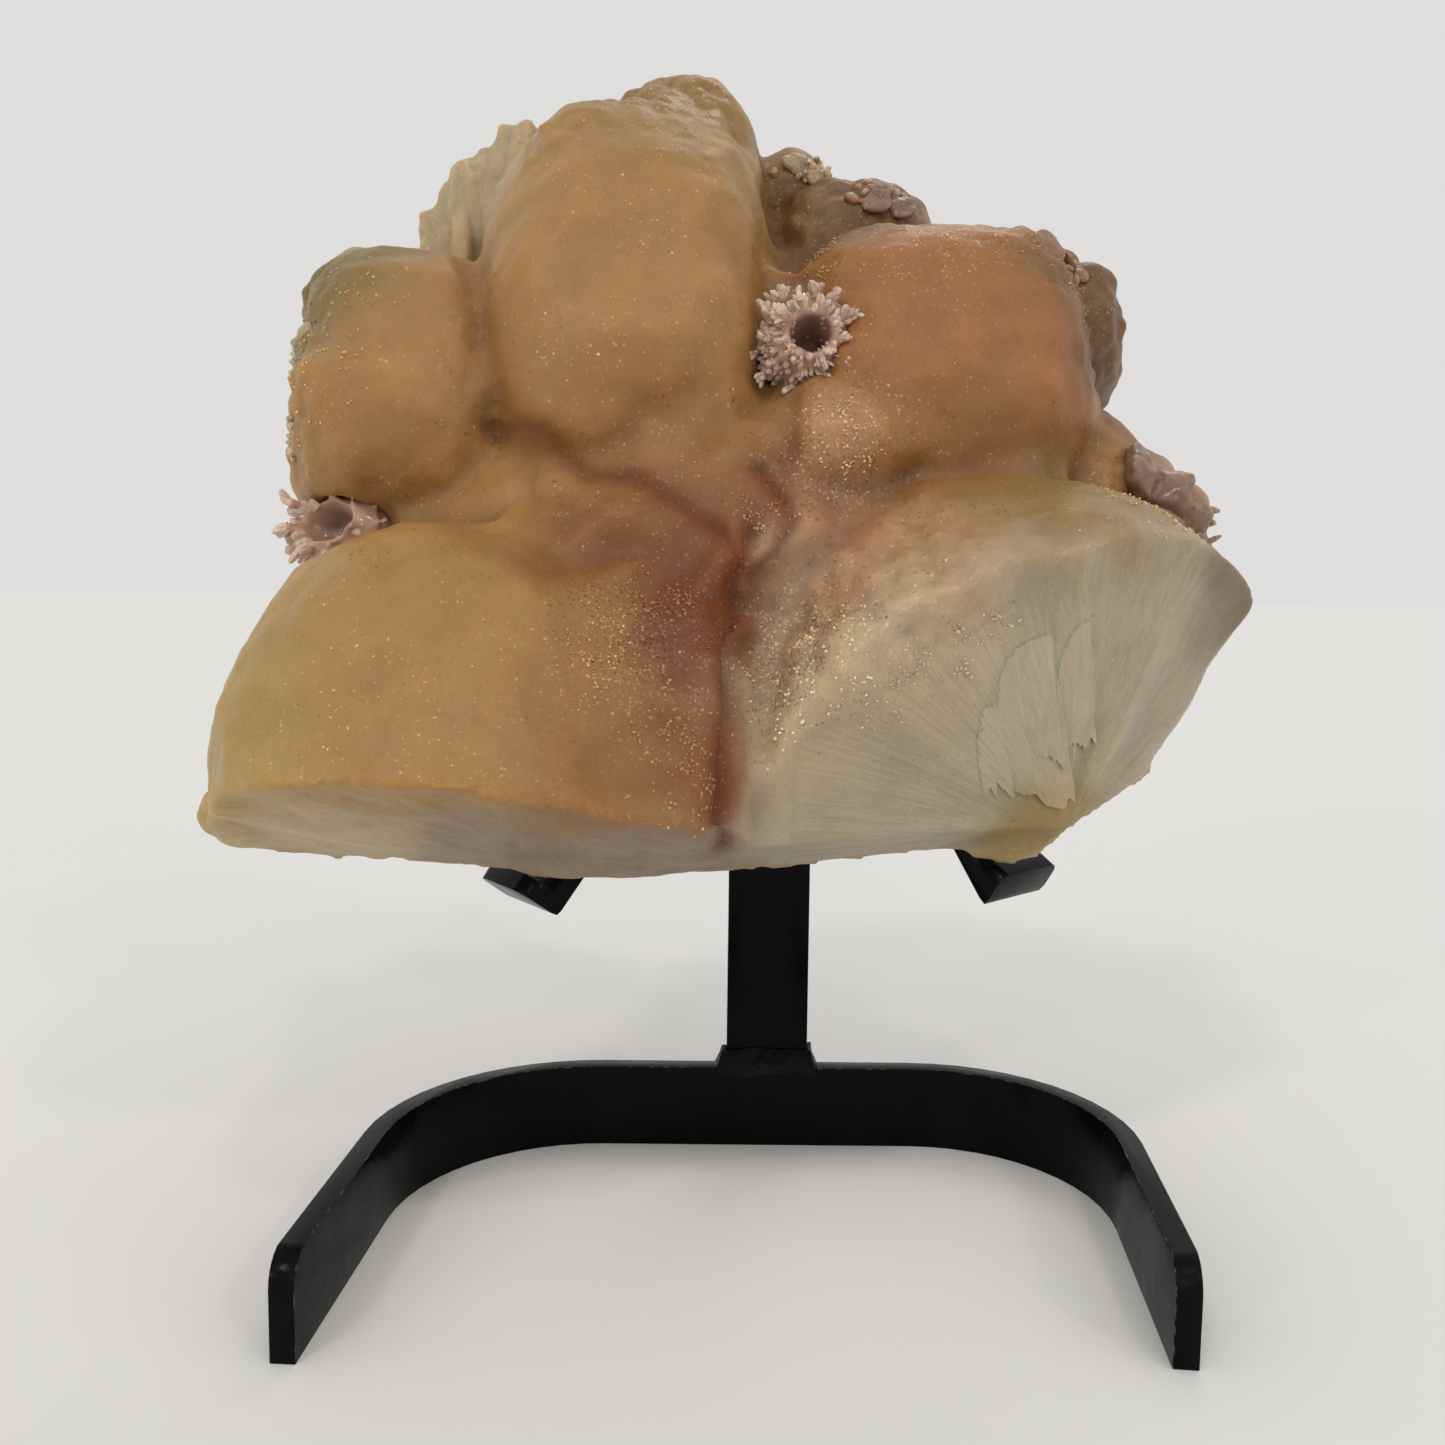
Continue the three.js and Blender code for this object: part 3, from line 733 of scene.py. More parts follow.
# Where each tint lies, and its reach
PATCHES = {
    Tint.STRAW: ((-32, 46, 212, 22), (-34, 60, 192, 18)),
    Tint.PEACH: ((-41, 62, 150, 36), (-99, 53, 114, 30), (-68, 42, 88, 12)),
    Tint.FAWN: ((-8, 45, 150, 18), (-37, 50, 100, 20), (45, 44, 106, 14), (88, 22, 108, 14)),
    Tint.HONEY: ((-3, 36, 190, 10), (-124, 50, 20, 26)),
    Tint.LICHEN: ((-121, 40, 149, 18),),
    Tint.CORAL: ((30, 56, 135, 22), (52, 52, 128, 20)),
    Tint.APRICOT: ((12, 50, 97, 14), (34, 50, 66, 14)),
    Tint.TAN: ((55, 30, 172, 20), (-44, 54, 18, 16), (-50, 57, 36, 12), (-52, 52, 58, 12)),
    Tint.TAWNY: ((85, 31, 147, 22), (18, 26, 182, 20)),
    Tint.RUSSET: ((-46, 47, 71, 14), (-26, 48, 76, 14), (-8, 47, 88, 10), (-22, 50, 18, 12)),
    Tint.RUST: ((-20, 48, 55, 14), (-28, 50, 42, 10)),
    Tint.SILK: ((-93, 28, 200, 24),),
    Tint.AMBER: ((-88, 63, 30, 34), (-64, 60, 44, 16)),
    Tint.DUSK: ((-70, 26, 0, 18), (-30, 20, -2, 16)),
    Tint.CREAM: ((-110, 26, 0, 18), (0, 41, 26, 14), (30, 44, 44, 18)),
    Tint.SHELL: ((0, 42, 48, 11), (3, 44, 66, 9)),
    Tint.BLUSH: ((18, 44, 74, 9), (14, 46, 54, 9)),
    Tint.OLIVE: ((66, 50, 82, 18), (92, 36, 86, 12)),
    Tint.PEARL: ((60, 40, 42, 24), (95, 28, 55, 24), (22, 22, 8, 22), (92, 12, 30, 12)),
    Tint.MOSS: ((66, 10, 10, 12),),
    Tint.SMOKE: ((118, 26, 68, 16),),
    Tint.LILAC: ((106, 17, 98, 14),),
}

# Creases between the balls: width, depth, darkness of their painted shade, and the line across and up the
# slope
CREASES = (
    (2.5, 3.0, 0.85, (-9, 74), (-11, 66), (-13.4, 60), (-13, 52), (-15, 40), (-14, 28), (-16.5, 14),
     (-15.5, -1)),
    (2.6, 1.8, 0.75, (-76, 108), (-61, 99), (-50, 91), (-38, 88), (-27, 81), (-20, 76), (-13, 68),
     (-9, 62)),
    (2.2, 2.2, 0.8, (-7, 92), (-1, 84), (1, 78), (-3, 68), (-9, 62)),
    (4.0, 1.2, 0.45, (-90, 164), (-84, 150), (-79, 132), (-75, 109)),
    (3.4, 1.8, 0.45, (-1, 196), (0, 182), (2, 166), (3, 155)),
    (2.6, 1.4, 0.4, (1, 113), (-0.6, 98), (-1, 84)),
    (4.2, 1.0, 0.3, (1, 82), (16, 85), (34, 94), (52, 98), (78, 110)),
    (5.0, 0.8, 0.3, (-108, 92), (-90, 84), (-78, 72), (-58, 60)),
)

# Places where neighbouring balls run into each other with no crease, their reach and strength
MELTS = (
    ((-44, 52, 28), 17, 1.0), ((-46, 54, 50), 12, 1.0), ((-30, 52, 14), 14, 1.0), ((20, 44, 60), 12, 1.0),
    ((-34, 56, 196), 22, 1.0), ((-28, 50, 208), 18, 1.0), ((-94, 24, 206), 24, 0.55),
    ((40, 46, 104), 12, 0.8), ((60, 44, 96), 12, 0.7),
)

# Dents in the outline: place, reach, and the push in millimetres
DENTS = (
    ((122, 12, 52), 8, (-4.5, 0, 1.5)), ((104, 6, 30), 6, (-2, 0, 1.5)), ((-140, 16, 20), 8, (1.8, 0, 0)),
    ((-138, 30, 44), 8, (1.5, 0, 0)), ((-70, 30, 218), 7, (0, 0, -3)), ((-10, 40, 206), 6, (-1.5, 0, -2)),
)

# Directions that the right ball's broken faces look
BROKEN = ((0.22, 0.72, -0.66), (0.53, 0.62, -0.57), (0.83, 0.05, -0.56), (0.56, 0.05, -0.83))

# Lower edge of the crust left on the broken ball, across and up the slope
CRUST_EDGE = (
    (-14, 2), (-7, 9.5), (2.4, 22), (21, 30), (35, 41), (49, 49.5), (70, 66), (100, 74), (124, 76)
)

# Places where the skin is scalloped into small knobs, and their reach
SCALLOPS = (
    ((-128, 30, 148), 22), ((-128, 30, 116), 18), ((-32, 40, 214), 20), ((90, 26, 146), 24),
    ((18, 24, 190), 22), ((60, 20, 176), 18), ((-112, 20, 168), 16), ((30, 46, 58), 24), ((94, 24, 100), 18),
    ((-142, 20, 8), 14), ((8, 44, 50), 18), ((-96, 22, 200), 22), ((92, 30, 150), 18), ((36, 30, 186), 18),
    ((66, 42, 163), 16), ((-62, 50, 188), 12), ((-140, 26, 30), 14), ((108, 20, 60), 9),
)

# Soft lumps between the balls: across, up the slope, reach and height
LUMPS = (
    (-71, 88, 9, 1.3), (-61, 90, 6, 1.0), (-41, 77, 8, 1.5), (-9.5, 86, 8, 1.7), (-26, 77, 6, 1.1),
    (-17, 56, 9, 1.7), (-36, 48, 6, 1.3), (-38, 63, 7, 1.2), (-20, 37, 6, 1.2), (-22, 12, 10, 1.5),
    (-30, 26, 7, 1.0), (10, 97, 10, 1.5), (2, 62, 7, 1.0), (22, 74, 9, 1.2),
)

# Where the skin glints most, and where the blades' fan does: place and reach
GLINTS = (
    ((-32, 46, 212), 20), ((-40, 52, 40), 20), ((12, 50, 97), 20), ((2, 42, 42), 24), ((40, 40, 160), 26)
)
FAN_GLINTS = (((-80, 23, 213), 9), ((-102, 21, 186), 8), ((-90, 25, 203), 6))


@dataclass
class Mass:
    """The stilbite itself: the smooth crystal balls and their broken faces.

    Its fibres fan out from a seed on the right, on the left and, for the blades, at the top.
    """

    voxel: float = 1.45
    right_seed: Spot = (71, 7, 6)
    left_seed: Spot = (-66, -4, 40)
    blade_seed: Spot = (-84, 10, 140)
    gain: float = 1.03
    carve: float = 0.55
    piece: Piece | None = None

    def build(self) -> None:
        """Makes the mass and dresses it."""
        piece = self.piece = merged_copy("stilbite_mass", "stilbite_crystal_mass")
        box = self.box()
        remesh(piece, self.voxel, 6)
        soft = blurred(piece, positions(piece), 40)
        place(piece, positions(piece) + self.carve * (positions(piece) - soft))
        place(piece, blurred(piece, positions(piece), 1))
        self.melt()
        spots = SLOPE.local(positions(piece))
        facing = normals(piece) @ SLOPE.axes.T
        silk = self.silk(spots, facing)
        swell(piece, self.relief(spots, silk) + self.lumps(spots) - self.creases(spots)[0], *box)
        self.dress(spots, silk)
        smooth(piece)
        hand_over(piece, StilbiteFinish().material("stilbite_skin"), "stilbite_mass")

    def melt(self) -> None:
        """Evens out the places where balls run together, and dents the outline."""
        spots = SLOPE.local(positions(self.piece))
        share = np.zeros(len(spots))
        for at, reach, strength in MELTS:
            share = np.maximum(share, strength * np.exp(-(apart(spots, at, reach) ** 2)))
        soft = blurred(self.piece, positions(self.piece), 210)
        points = positions(self.piece) * (1 - share)[:, None] + soft * share[:, None]
        for at, reach, push in DENTS:
            points += np.outer(np.exp(-apart(spots, at, reach)), SLOPE.turn(push)) * MM
        place(self.piece, points)

    @staticmethod
    def box() -> tuple[Array, Array]:
        """The corners that the mass and what grows on it stay between."""
        low, high = (np.array(corner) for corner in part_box("stilbite_mass"))
        return low + 0.02 * MM, high - 0.02 * MM

    def silk(self, spots: Array, facing: Array) -> Array:
        """Finds the broken faces.

        Args:
            spots: the mass's points in the specimen's frame.
            facing: its normals there.

        Returns:
            How much each point lies on a broken face, from 0 to 1.
        """
        x, w, z = spots.T
        turned = np.maximum.reduce([facing @ (np.array(n) / np.linalg.norm(n)) for n in BROKEN])
        right = step(turned, 0.9, 0.98) * step(x, -4, 4) * step(z, 96, 86)
        edge = np.interp(x, *np.array(CRUST_EDGE, float).T) + 3.0 * swirl(spots, 5, 31)
        right *= step(z - edge, 1.25, -1.25)
        under = step(facing[:, 2], -0.8, -0.95) * step(z, 14, 8)
        blades = np.exp(-((x + 92) ** 2 + (z - 205) ** 2) / 26**2) * step(w, 34, 26)
        silk = np.maximum.reduce([right, under, blades])
        return blurred(self.piece, silk[:, None], 3)[:, 0]

    def relief(self, spots: Array, silk: Array) -> Array:
        """Works out the surface's own relief.

        Args:
            spots: points in the specimen's frame.
            silk: the broken faces' share.

        Returns:
            The height of each point in millimetres.
        """
        x, w, z = spots.T
        skin = 0.8 * swirl(spots, 15, 1) + 0.42 * swirl(spots, 6.5, 2) + 0.14 * swirl(spots, 3.2, 3)
        skin -= 0.3 * cells(spots, 4.2, 4)
        knobs = np.zeros(len(spots))
        for at, reach in SCALLOPS:
            knobs = np.maximum(knobs, np.exp(-((apart(spots, at, reach) / 1.2) ** 2)))
        skin += knobs * (2.8 * (0.55 - cells(spots, 8.5, 6)) + 1.1 * (0.5 - cells(spots, 4.2, 7)))
        rock = 1.7 * swirl(spots, 16, 12) + 1.0 * swirl(spots, 5, 8) + 0.5 * swirl(spots, 2.6, 9)
        rock += 1.2 * (0.5 - cells(spots, 11, 13))
        back = step(w, 3, 1)
        fan = self.fan(spots)
        fibres = (0.35 * swirl(fan, 3.4, 5) + 0.22 * swirl(fan, 1.6, 6)) * (1 + 2.6 * (z > 150))
        crust = 0.7 * step(silk, 0.625, 0) * step(x, -10, 2) * step(z, 82, 66)
        return (1 - silk) * ((1 - back) * skin + back * rock) + silk * fibres + crust

    @staticmethod
    def creases(spots: Array) -> tuple[Array, Array]:
        """Works out the creases.

        Args:
            spots: points in the specimen's frame.

        Returns:
            Their depth in millimetres, and the darkness of their painted shade at each point.
        """
        dent, dark = np.zeros(len(spots)), np.zeros(len(spots))
        flat = spots[:, (0, 2)]
        front = step(spots[:, 1], 16, 24)
        for width, depth, darkness, *line in CREASES:
            away = np.full(len(spots), 1e9)
            for a, b in zip(np.array(line, float), np.array(line, float)[1:]):
                share = np.clip((flat - a) @ (b - a) / ((b - a) @ (b - a)), 0, 1)
                away = np.minimum(away, np.linalg.norm(flat - a - share[:, None] * (b - a), axis=1))
            dent = np.maximum(dent, depth * front * np.exp(-np.abs(away / width) ** 1.4))
            dark = np.maximum(dark, darkness * front * np.exp(-((away / (width * 1.35)) ** 2)))
        return dent, dark

    @staticmethod
    def lumps(spots: Array) -> Array:
        """Works out the soft lumps between the balls.

        Args:
            spots: points in the specimen's frame.

        Returns:
            Their height in millimetres at each point.
        """
        lift = np.zeros(len(spots))
        for x, z, reach, height in LUMPS:
            away = ((spots[:, 0] - x) ** 2 + (spots[:, 2] - z) ** 2) / reach**2
            lift = np.maximum(lift, height * np.clip(1 - away, 0, 1) ** 1.5 * (spots[:, 1] > 16))
        return lift

    def fan(self, spots: Array) -> Array:
        """Finds coordinates that run slowly along the fibres and fast across them.

        Args:
            spots: points in the specimen's frame.

        Returns:
            One row of three for each point.
        """
        seeds = np.where((spots[:, 0] > 2)[:, None], np.array(self.right_seed), np.array(self.left_seed))
        seeds = np.where((spots[:, 2] > 150)[:, None], np.array(self.blade_seed), seeds)
        away = spots - seeds
        reach = np.linalg.norm(away, axis=1, keepdims=True)
        return away / np.maximum(reach, 4) * 46 + reach * 0.05

    def dress(self, spots: Array, silk: Array) -> None:
        """Stores tint, with painted shade in its creases and hollows and painted light on its bulges, and
        silk, crease, glint and fibre on the piece.

        Args:
            spots: its points in the specimen's frame.
            silk: the broken faces' share.
        """
        piece = self.piece
        warp = np.stack([swirl(spots, 14, 11 + i) for i in range(3)], axis=1) * 7
        broad = blurred(piece, positions(piece), 60)
        hollow = np.einsum("ij,ij->i", broad - positions(piece), normals(piece)) / MM
        # Painted shade: creases and hollows are darkened towards a dark brown; the same crease mask also
        # roughens them.
        dark = self.creases(spots + warp * 0.2)[1]
        crease = np.clip(np.maximum(0.5 * step(hollow, 0, 3) * (1 - silk), dark), 0, 1)
        painted_crease_shade = 0.85 * crease[:, None]
        tint = self.tint(spots + warp) * (1 - painted_crease_shade) + Tint.UMBER.linear() * self.gain * painted_crease_shade
        # Painted light: bulges are made a little lighter.
        tint = tint * (1 + 0.1 * step(hollow, 0, -4)[:, None])
        back = step(spots[:, 1], 5, 1)[:, None]
        stain = np.clip(0.5 + 1.1 * swirl(spots, 24, 41) + 0.4 * swirl(spots, 7, 42), 0, 1)[:, None]
        rock = Tint.TAN.linear() * (1 - stain) + Tint.CREAM.linear() * stain
        paint_tint(piece, np.clip(tint * (1 - back) + rock * self.gain * back, 0, 0.95))
        glint = np.clip(0.34 * swirl(spots, 17, 21) + 0.2, 0.05, 0.45)
        uneven = 1.7 * (0.75 + 0.5 * swirl(spots, 7, 22))
        for at, reach in GLINTS:
            glint = np.maximum(glint, np.exp(-apart(spots, at, reach)) * uneven)
        glint *= 1 - 0.8 * silk
        for at, reach in FAN_GLINTS:
            glint = np.maximum(glint, 0.55 * np.exp(-apart(spots, at, reach)))
        paint(piece, "silk", silk)
        paint(piece, "crease", crease)
        paint(piece, "glint", glint)
        paint(piece, "fibre", self.fan(spots) * 1.4)

    def tint(self, spots: Array) -> Array:
        """Blends the patches' tints.

        Args:
            spots: points in the specimen's frame.

        Returns:
            Red, green and blue for each point, as linear light.
        """
        total = np.full(len(spots), 1e-9)
        color = Tint.PEACH.linear() * total[:, None]
        for tint, places in PATCHES.items():
            for *at, reach in places:
                away = apart(spots, at, reach)
                weight = np.exp(-1.25 * away) + 1e-4 / (1 + away)
                total = total + weight
                color = color + weight[:, None] * tint.linear()
        return color / total[:, None] * self.gain


# Crystals


@dataclass(frozen=True)
class CrystalShape:
    """One modelled crystal as arrays, from its root at the origin up to a length of one."""

    points: Array
    faces: list[list[int]]

    @classmethod
    def taken(cls, points: Array) -> "CrystalShape":
        """Takes the active object's faces, with these points, and removes it.

        Args:
            points: the crystal's points.

        Returns:
            The crystal.
        """
        faces = [list(face.vertices) for face in bpy.context.object.data.polygons]
        bpy.data.objects.remove(bpy.context.object)
        return cls(points, faces)

    @classmethod
    def modelled(cls, sides: int, flat: float, shoulder: float, tip: float) -> "CrystalShape":
        """Models a crystal by hand: a cylinder whose end is drawn out to a point.

        Args:
            sides: the number of its faces round.
            flat: its thickness as a share of its width.
            shoulder: where its point starts, as a share of its length.
            tip: the size of its blunt end as a share of its width.

        Returns:
            The crystal.
        """
        bpy.ops.object.select_all(action="DESELECT")
        bpy.ops.mesh.primitive_cylinder_add(
            vertices=sides, radius=1, depth=shoulder, location=(0, 0, shoulder / 2)
        )
        piece = bpy.context.object
        with editing(piece):
            bpy.ops.mesh.select_mode(type="FACE")
            bpy.ops.mesh.select_all(action="DESELECT")
            bpy.ops.object.mode_set(mode="OBJECT")
            for face in piece.data.polygons:
                face.select = face.normal.z > 0.9
            bpy.ops.object.mode_set(mode="EDIT")
            bpy.ops.mesh.extrude_region_move(
                TRANSFORM_OT_translate={"value": (0.12 * flat, 0, 1 - shoulder)}
            )
            bpy.ops.transform.resize(value=(tip, tip, 1))
            bpy.ops.mesh.select_all(action="SELECT")
            bpy.ops.transform.resize(value=(1, flat, 1), center_override=(0, 0, 0))
        bpy.ops.object.transform_apply(location=True, rotation=True, scale=True)
        return cls.taken(positions(piece))

    @classmethod
    def lump(cls, seed: int) -> "CrystalShape":
        """Models a blunt, softly faced lump from a small sphere.

        Args:
            seed: picks its unevenness.

        Returns:
            The lump.
        """
        bpy.ops.object.select_all(action="DESELECT")
        bpy.ops.mesh.primitive_ico_sphere_add(subdivisions=4, radius=1)
        points = positions(bpy.context.object)
        points *= (1 + 0.18 * swirl(points, 0.9, seed) - 0.2 * cells(points, 0.8, seed))[:, None]
        points[:, 2] = points[:, 2] * 0.62 + 0.4
        return cls.taken(points)


@dataclass
class Planting:
    """Many copies of modelled crystals gathered in one mesh."""

    name: str
    points: list[Array] = field(default_factory=list)
    faces: list[list[int]] = field(default_factory=list)
    tints: list[Array] = field(default_factory=list)
    count: int = 0

    def add(
        self, shape: CrystalShape, root: Array, up: Array, size: Pair, turn: float, tint: Array
    ) -> None:
        """Plants one crystal.

        Args:
            shape: the crystal.
            root: its foot in metres.
            up: the way that it points.
            size: its length and half its width in metres.
            turn: its turn about its own axis.
            tint: its colour as linear light.
        """
        length, width = size
        z = up / np.linalg.norm(up)
        x = np.cross(z, (0.31, 0.87, 0.38))
        x = x / np.linalg.norm(x)
        y = np.cross(z, x)
        x, y = x * math.cos(turn) + y * math.sin(turn), y * math.cos(turn) - x * math.sin(turn)
        self.points.append(shape.points * (width, width, length) @ np.stack([x, y, z]) + root)
        self.faces.extend([[i + self.count for i in face] for face in shape.faces])
        self.tints.append(np.tile(tint, (len(shape.points), 1)))
        self.count += len(shape.points)

    def build(self, low: Array, high: Array) -> Piece:
        """Gathers the crystals in one piece, kept in a box.

        Args:
            low: the box's lowest corner.
            high: its highest corner.

        Returns:
            The piece.
        """
        mesh = bpy.data.meshes.new(self.name)
        mesh.from_pydata(np.clip(np.vstack(self.points), low, high).tolist(), [], self.faces)
        mesh.update()
        piece = shown(self.name, mesh)
        paint_tint(piece, np.vstack(self.tints))
        return piece


@dataclass(frozen=True)
class Grove:
    """A patch of the surface that crystals grow on, with their number and the ranges of their sizes."""

    at: Spot
    reach: float
    count: int
    length: Pair = (0.3, 0.6)
    width: Pair = (0.25, 0.5)
    spread: float = 0.5
    tint: Tint = Tint.CREAM
    # Brightening of the crystals' colour; on the stilbite's tips and crumbs it is painted highlight that
    # lifts their shaded sides and makes them read as glints.
    shine: Pair = (1.5, 2.1)


@dataclass(frozen=True)
class Lump:
    """One large lump of crystal on the rim: its place, half width, height, tint and brightness."""

    at: Spot
    width: float
    height: float
    tint: Tint = Tint.LILAC
    bright: float = 1.0


# The stilbite's own tips: on the skin, and as crumbs along the broken ball's crust; their colour is
# brightened as painted highlight so that they read as glints
SKIN_TIPS = (
    Grove((-42, 53, 36), 12, 110), Grove((-26, 50, 14), 14, 160), Grove((-30, 50, 54), 10, 120),
    Grove((12, 50, 97), 13, 160), Grove((2, 42, 42), 18, 260), Grove((10, 38, 160), 10, 120),
    Grove((76, 40, 158), 16, 160), Grove((-122, 40, 130), 22, 160), Grove((-6, 47, 80), 7, 60),
    Grove((90, 36, 84), 14, 120),
)
CRUMBS = tuple(
    Grove(at, reach, count, (0.25, 0.5), spread=spread, shine=(1.15, 1.4))
    for at, reach, count, spread in (
        ((24, 46, 32), 8, 30, 0.5), ((40, 49, 43), 6, 60, 0.6), ((30, 48, 38), 6, 40, 0.6),
        ((49, 52, 48), 5, 30, 0.6),
    )
)

# The quartz along the rim: groves of prisms, and lumps that run into each other
PALE = (1.0, 1.4)
RIM_GROVES = (
    Grove((7, 20, 212), 8, 22, (1.4, 2.6), (0.9, 1.7), 0.3, Tint.SHELL, PALE),
    Grove((32, 28, 193), 8, 14, (1.0, 2.0), (0.8, 1.6), 0.3, Tint.LILAC, PALE),
    Grove((52, 26, 182), 3, 6, (1.8, 2.8), (0.8, 1.3), 0.2, Tint.SHELL, PALE),
    Grove((80, 32, 165), 8, 14, (1.2, 2.4), (1.2, 2.2), 0.3, Tint.LILAC, PALE),
    Grove((-130, 26, 139), 6, 26, (1.2, 2.6), (0.8, 1.5), 0.3, Tint.CREAM, PALE),
    Grove((-129, 28, 112), 6, 14, (1.0, 2.0), (0.7, 1.4), 0.3, Tint.CREAM, PALE),
    Grove((112, 16, 96), 6, 9, (2, 3.4), (1.0, 1.8), 0.3, Tint.LILAC, (0.8, 1.2)),
)
RIM_LUMPS = (
    Lump((98, 20, 107), 9.5, 7.0, bright=0.9), Lump((107, 18, 103), 7.5, 6.0, bright=0.92),
    Lump((103, 22, 96), 7.5, 5.4, bright=0.85), Lump((111, 17, 96), 5.5, 5.0, bright=0.98),
    Lump((69, 44, 163), 6.0, 2.0, Tint.BLUSH, 0.85), Lump((77, 38, 165), 6.0, 2.4, Tint.BLUSH, 0.8),
    Lump((83, 31, 163), 3.6, 3.2, Tint.BLUSH, 0.85), Lump((27, 31, 189), 5.2, 2.4, bright=0.9),
    Lump((34, 29, 189), 5.6, 2.6, bright=0.85), Lump((19, 31, 190), 3.0, 3.0, Tint.BLUSH, 0.85),
    Lump((52, 26, 182), 2.4, 3.2, Tint.SHELL, 1.15), Lump((45, 30, 182), 3.0, 2.2, Tint.TAN, 1.0),
    Lump((5, 21, 212), 4.6, 3.0, Tint.SHELL, 0.9), Lump((10, 20, 208), 3.6, 2.4, Tint.SHELL, 0.85),
    Lump((-127, 36, 139), 3.6, 3.0, Tint.CREAM, 0.95), Lump((-128, 33, 130), 2.6, 2.4, Tint.LILAC, 1.0),
)


@dataclass
class Crystals:
    """Crystals planted on the mass: its own glinting tips, and the rim's quartz."""

    ground: Piece
    seed: int = 7
    bright: float = 1.15

    def __post_init__(self) -> None:
        """Reads the ground's faces once."""
        mesh = self.ground.data
        self.centres, self.facing = (rows(mesh.polygons, name, 3) for name in ("center", "normal"))
        self.areas = rows(mesh.polygons, "area", 1)[:, 0]
        self.spots = SLOPE.local(self.centres)
        first = np.array([face.vertices[0] for face in mesh.polygons])
        self.tints = rows(mesh.attributes["tint"].data, "color", 4)[first, :3]
        self.box = Mass.box()
        self.clump = np.clip(0.25 + 2.2 * swirl(self.spots, 5, 50), 0.05, 1)

    def grow(
        self, name: str, shapes: list[CrystalShape], groves: Sequence[Grove], own_tint: float,
        lumps: Sequence[Lump] = (),
    ) -> Piece:
        """Plants groves of crystals, and lumps.

        Args:
            name: the new piece's name.
            shapes: the crystals to choose from.
            groves: where they grow.
            own_tint: the share of the ground's colour in a crystal's.
            lumps: the lumps.

        Returns:
            The piece.
        """
        dice = np.random.default_rng(self.seed)
        planting = Planting(name)
        for grove in groves:
            away = apart(self.spots, grove.at, grove.reach)
            weight = self.areas * np.exp(-1.5 * away) * (away < 1.6)
            weight *= (self.spots[:, 1] > 1.5) * self.clump
            for pick in dice.choice(len(weight), grove.count, p=weight / weight.sum()):
                facing = self.facing[pick]
                length, width = dice.uniform(*grove.length) * MM, dice.uniform(*grove.width) * MM
                up = facing + dice.normal(0, grove.spread, 3)
                if up @ facing < 0.25:
                    up = up + facing
                tint = self.tints[pick] * own_tint + (1 - own_tint) * grove.tint.linear() * 1.6
                # Painted highlight on the stilbite's tips and crumbs: their colour is brightened so that they
                # read as glints.
                tint = np.clip(tint * dice.uniform(*grove.shine), 0, 0.92)
                slide = dice.normal(0, 0.6, 3) * MM
                slide -= facing * (slide @ facing)
                shape = shapes[int(dice.integers(len(shapes)))]
                root = self.centres[pick] + slide - facing * 0.35 * length
                planting.add(shape, root, up, (length * 1.35, width), dice.uniform(0, FULL_TURN), tint)
        piece = planting.build(*self.box)
        if lumps:
            only(piece, self.crust(name, lumps, dice))
            bpy.ops.object.join()
        return piece

    def crust(self, name: str, lumps: Sequence[Lump], dice: np.random.Generator) -> Piece:
        """Grows lumps of crystal that run into each other.

        Args:
            name: the name of the piece that they are for.
            lumps: their places and sizes.
            dice: the seeded scatter.

        Returns:
            The crust.
        """
        planting = Planting(name + "_crust")
        for number, lump in enumerate(lumps):
            near = int(np.argmin(apart(self.spots, lump.at)))
            up = self.facing[near] + dice.normal(0, 0.1, 3)
            root = self.centres[near] - self.facing[near] * 0.25 * lump.height * MM
            size = (lump.height * MM, lump.width * MM)
            turn = dice.uniform(0, FULL_TURN)
            planting.add(CrystalShape.lump(number), root, up, size, turn, lump.tint.linear())
        piece = planting.build(*self.box)
        remesh(piece, 0.5, 7)
        spots = SLOPE.local(positions(piece))
        swell(piece, 0.5 * swirl(spots, 3.4, 61) - 0.5 * cells(spots, 3.0, 62) + 0.3, *self.box)
        gaps = np.stack([apart(spots, lump.at) for lump in lumps], axis=1)
        share = np.exp((gaps.min(axis=1, keepdims=True) - gaps) / 20)
        tints = np.stack([lump.tint.linear() * self.bright * lump.bright for lump in lumps])
        tint = (share / share.sum(axis=1, keepdims=True)) @ tints
        paint_tint(piece, np.clip(tint * (1 + 0.3 * swirl(spots, 5, 63))[:, None], 0, 0.9))
        return piece


@dataclass(frozen=True)
class Sheet:
    """A thin sheet left on the broken face: its corners across and up the slope, and its build.

    It stands proud at its near end and its right side, and runs into the face at the others.
    """

    near: tuple[Pair, Pair]
    far: tuple[Pair, Pair]
    thick: float
    ragged: float
    tint: Tint = Tint.PEARL


SHEETS = (
    Sheet(((46, 14), (57, 15)), ((34, 32), (46, 42)), 0.5, 2.6),
    Sheet(((54, 15), (73.6, 14)), ((38, 46), (61, 53)), 1.5, 2.4, Tint.CREAM),
    Sheet(((57, 24), (69, 20.5)), ((47, 44), (61, 51)), 2.1, 2.6),
    Sheet(((66, 25), (78, 29)), ((58, 48), (71, 56)), 1.2, 1.8, Tint.CREAM),
)


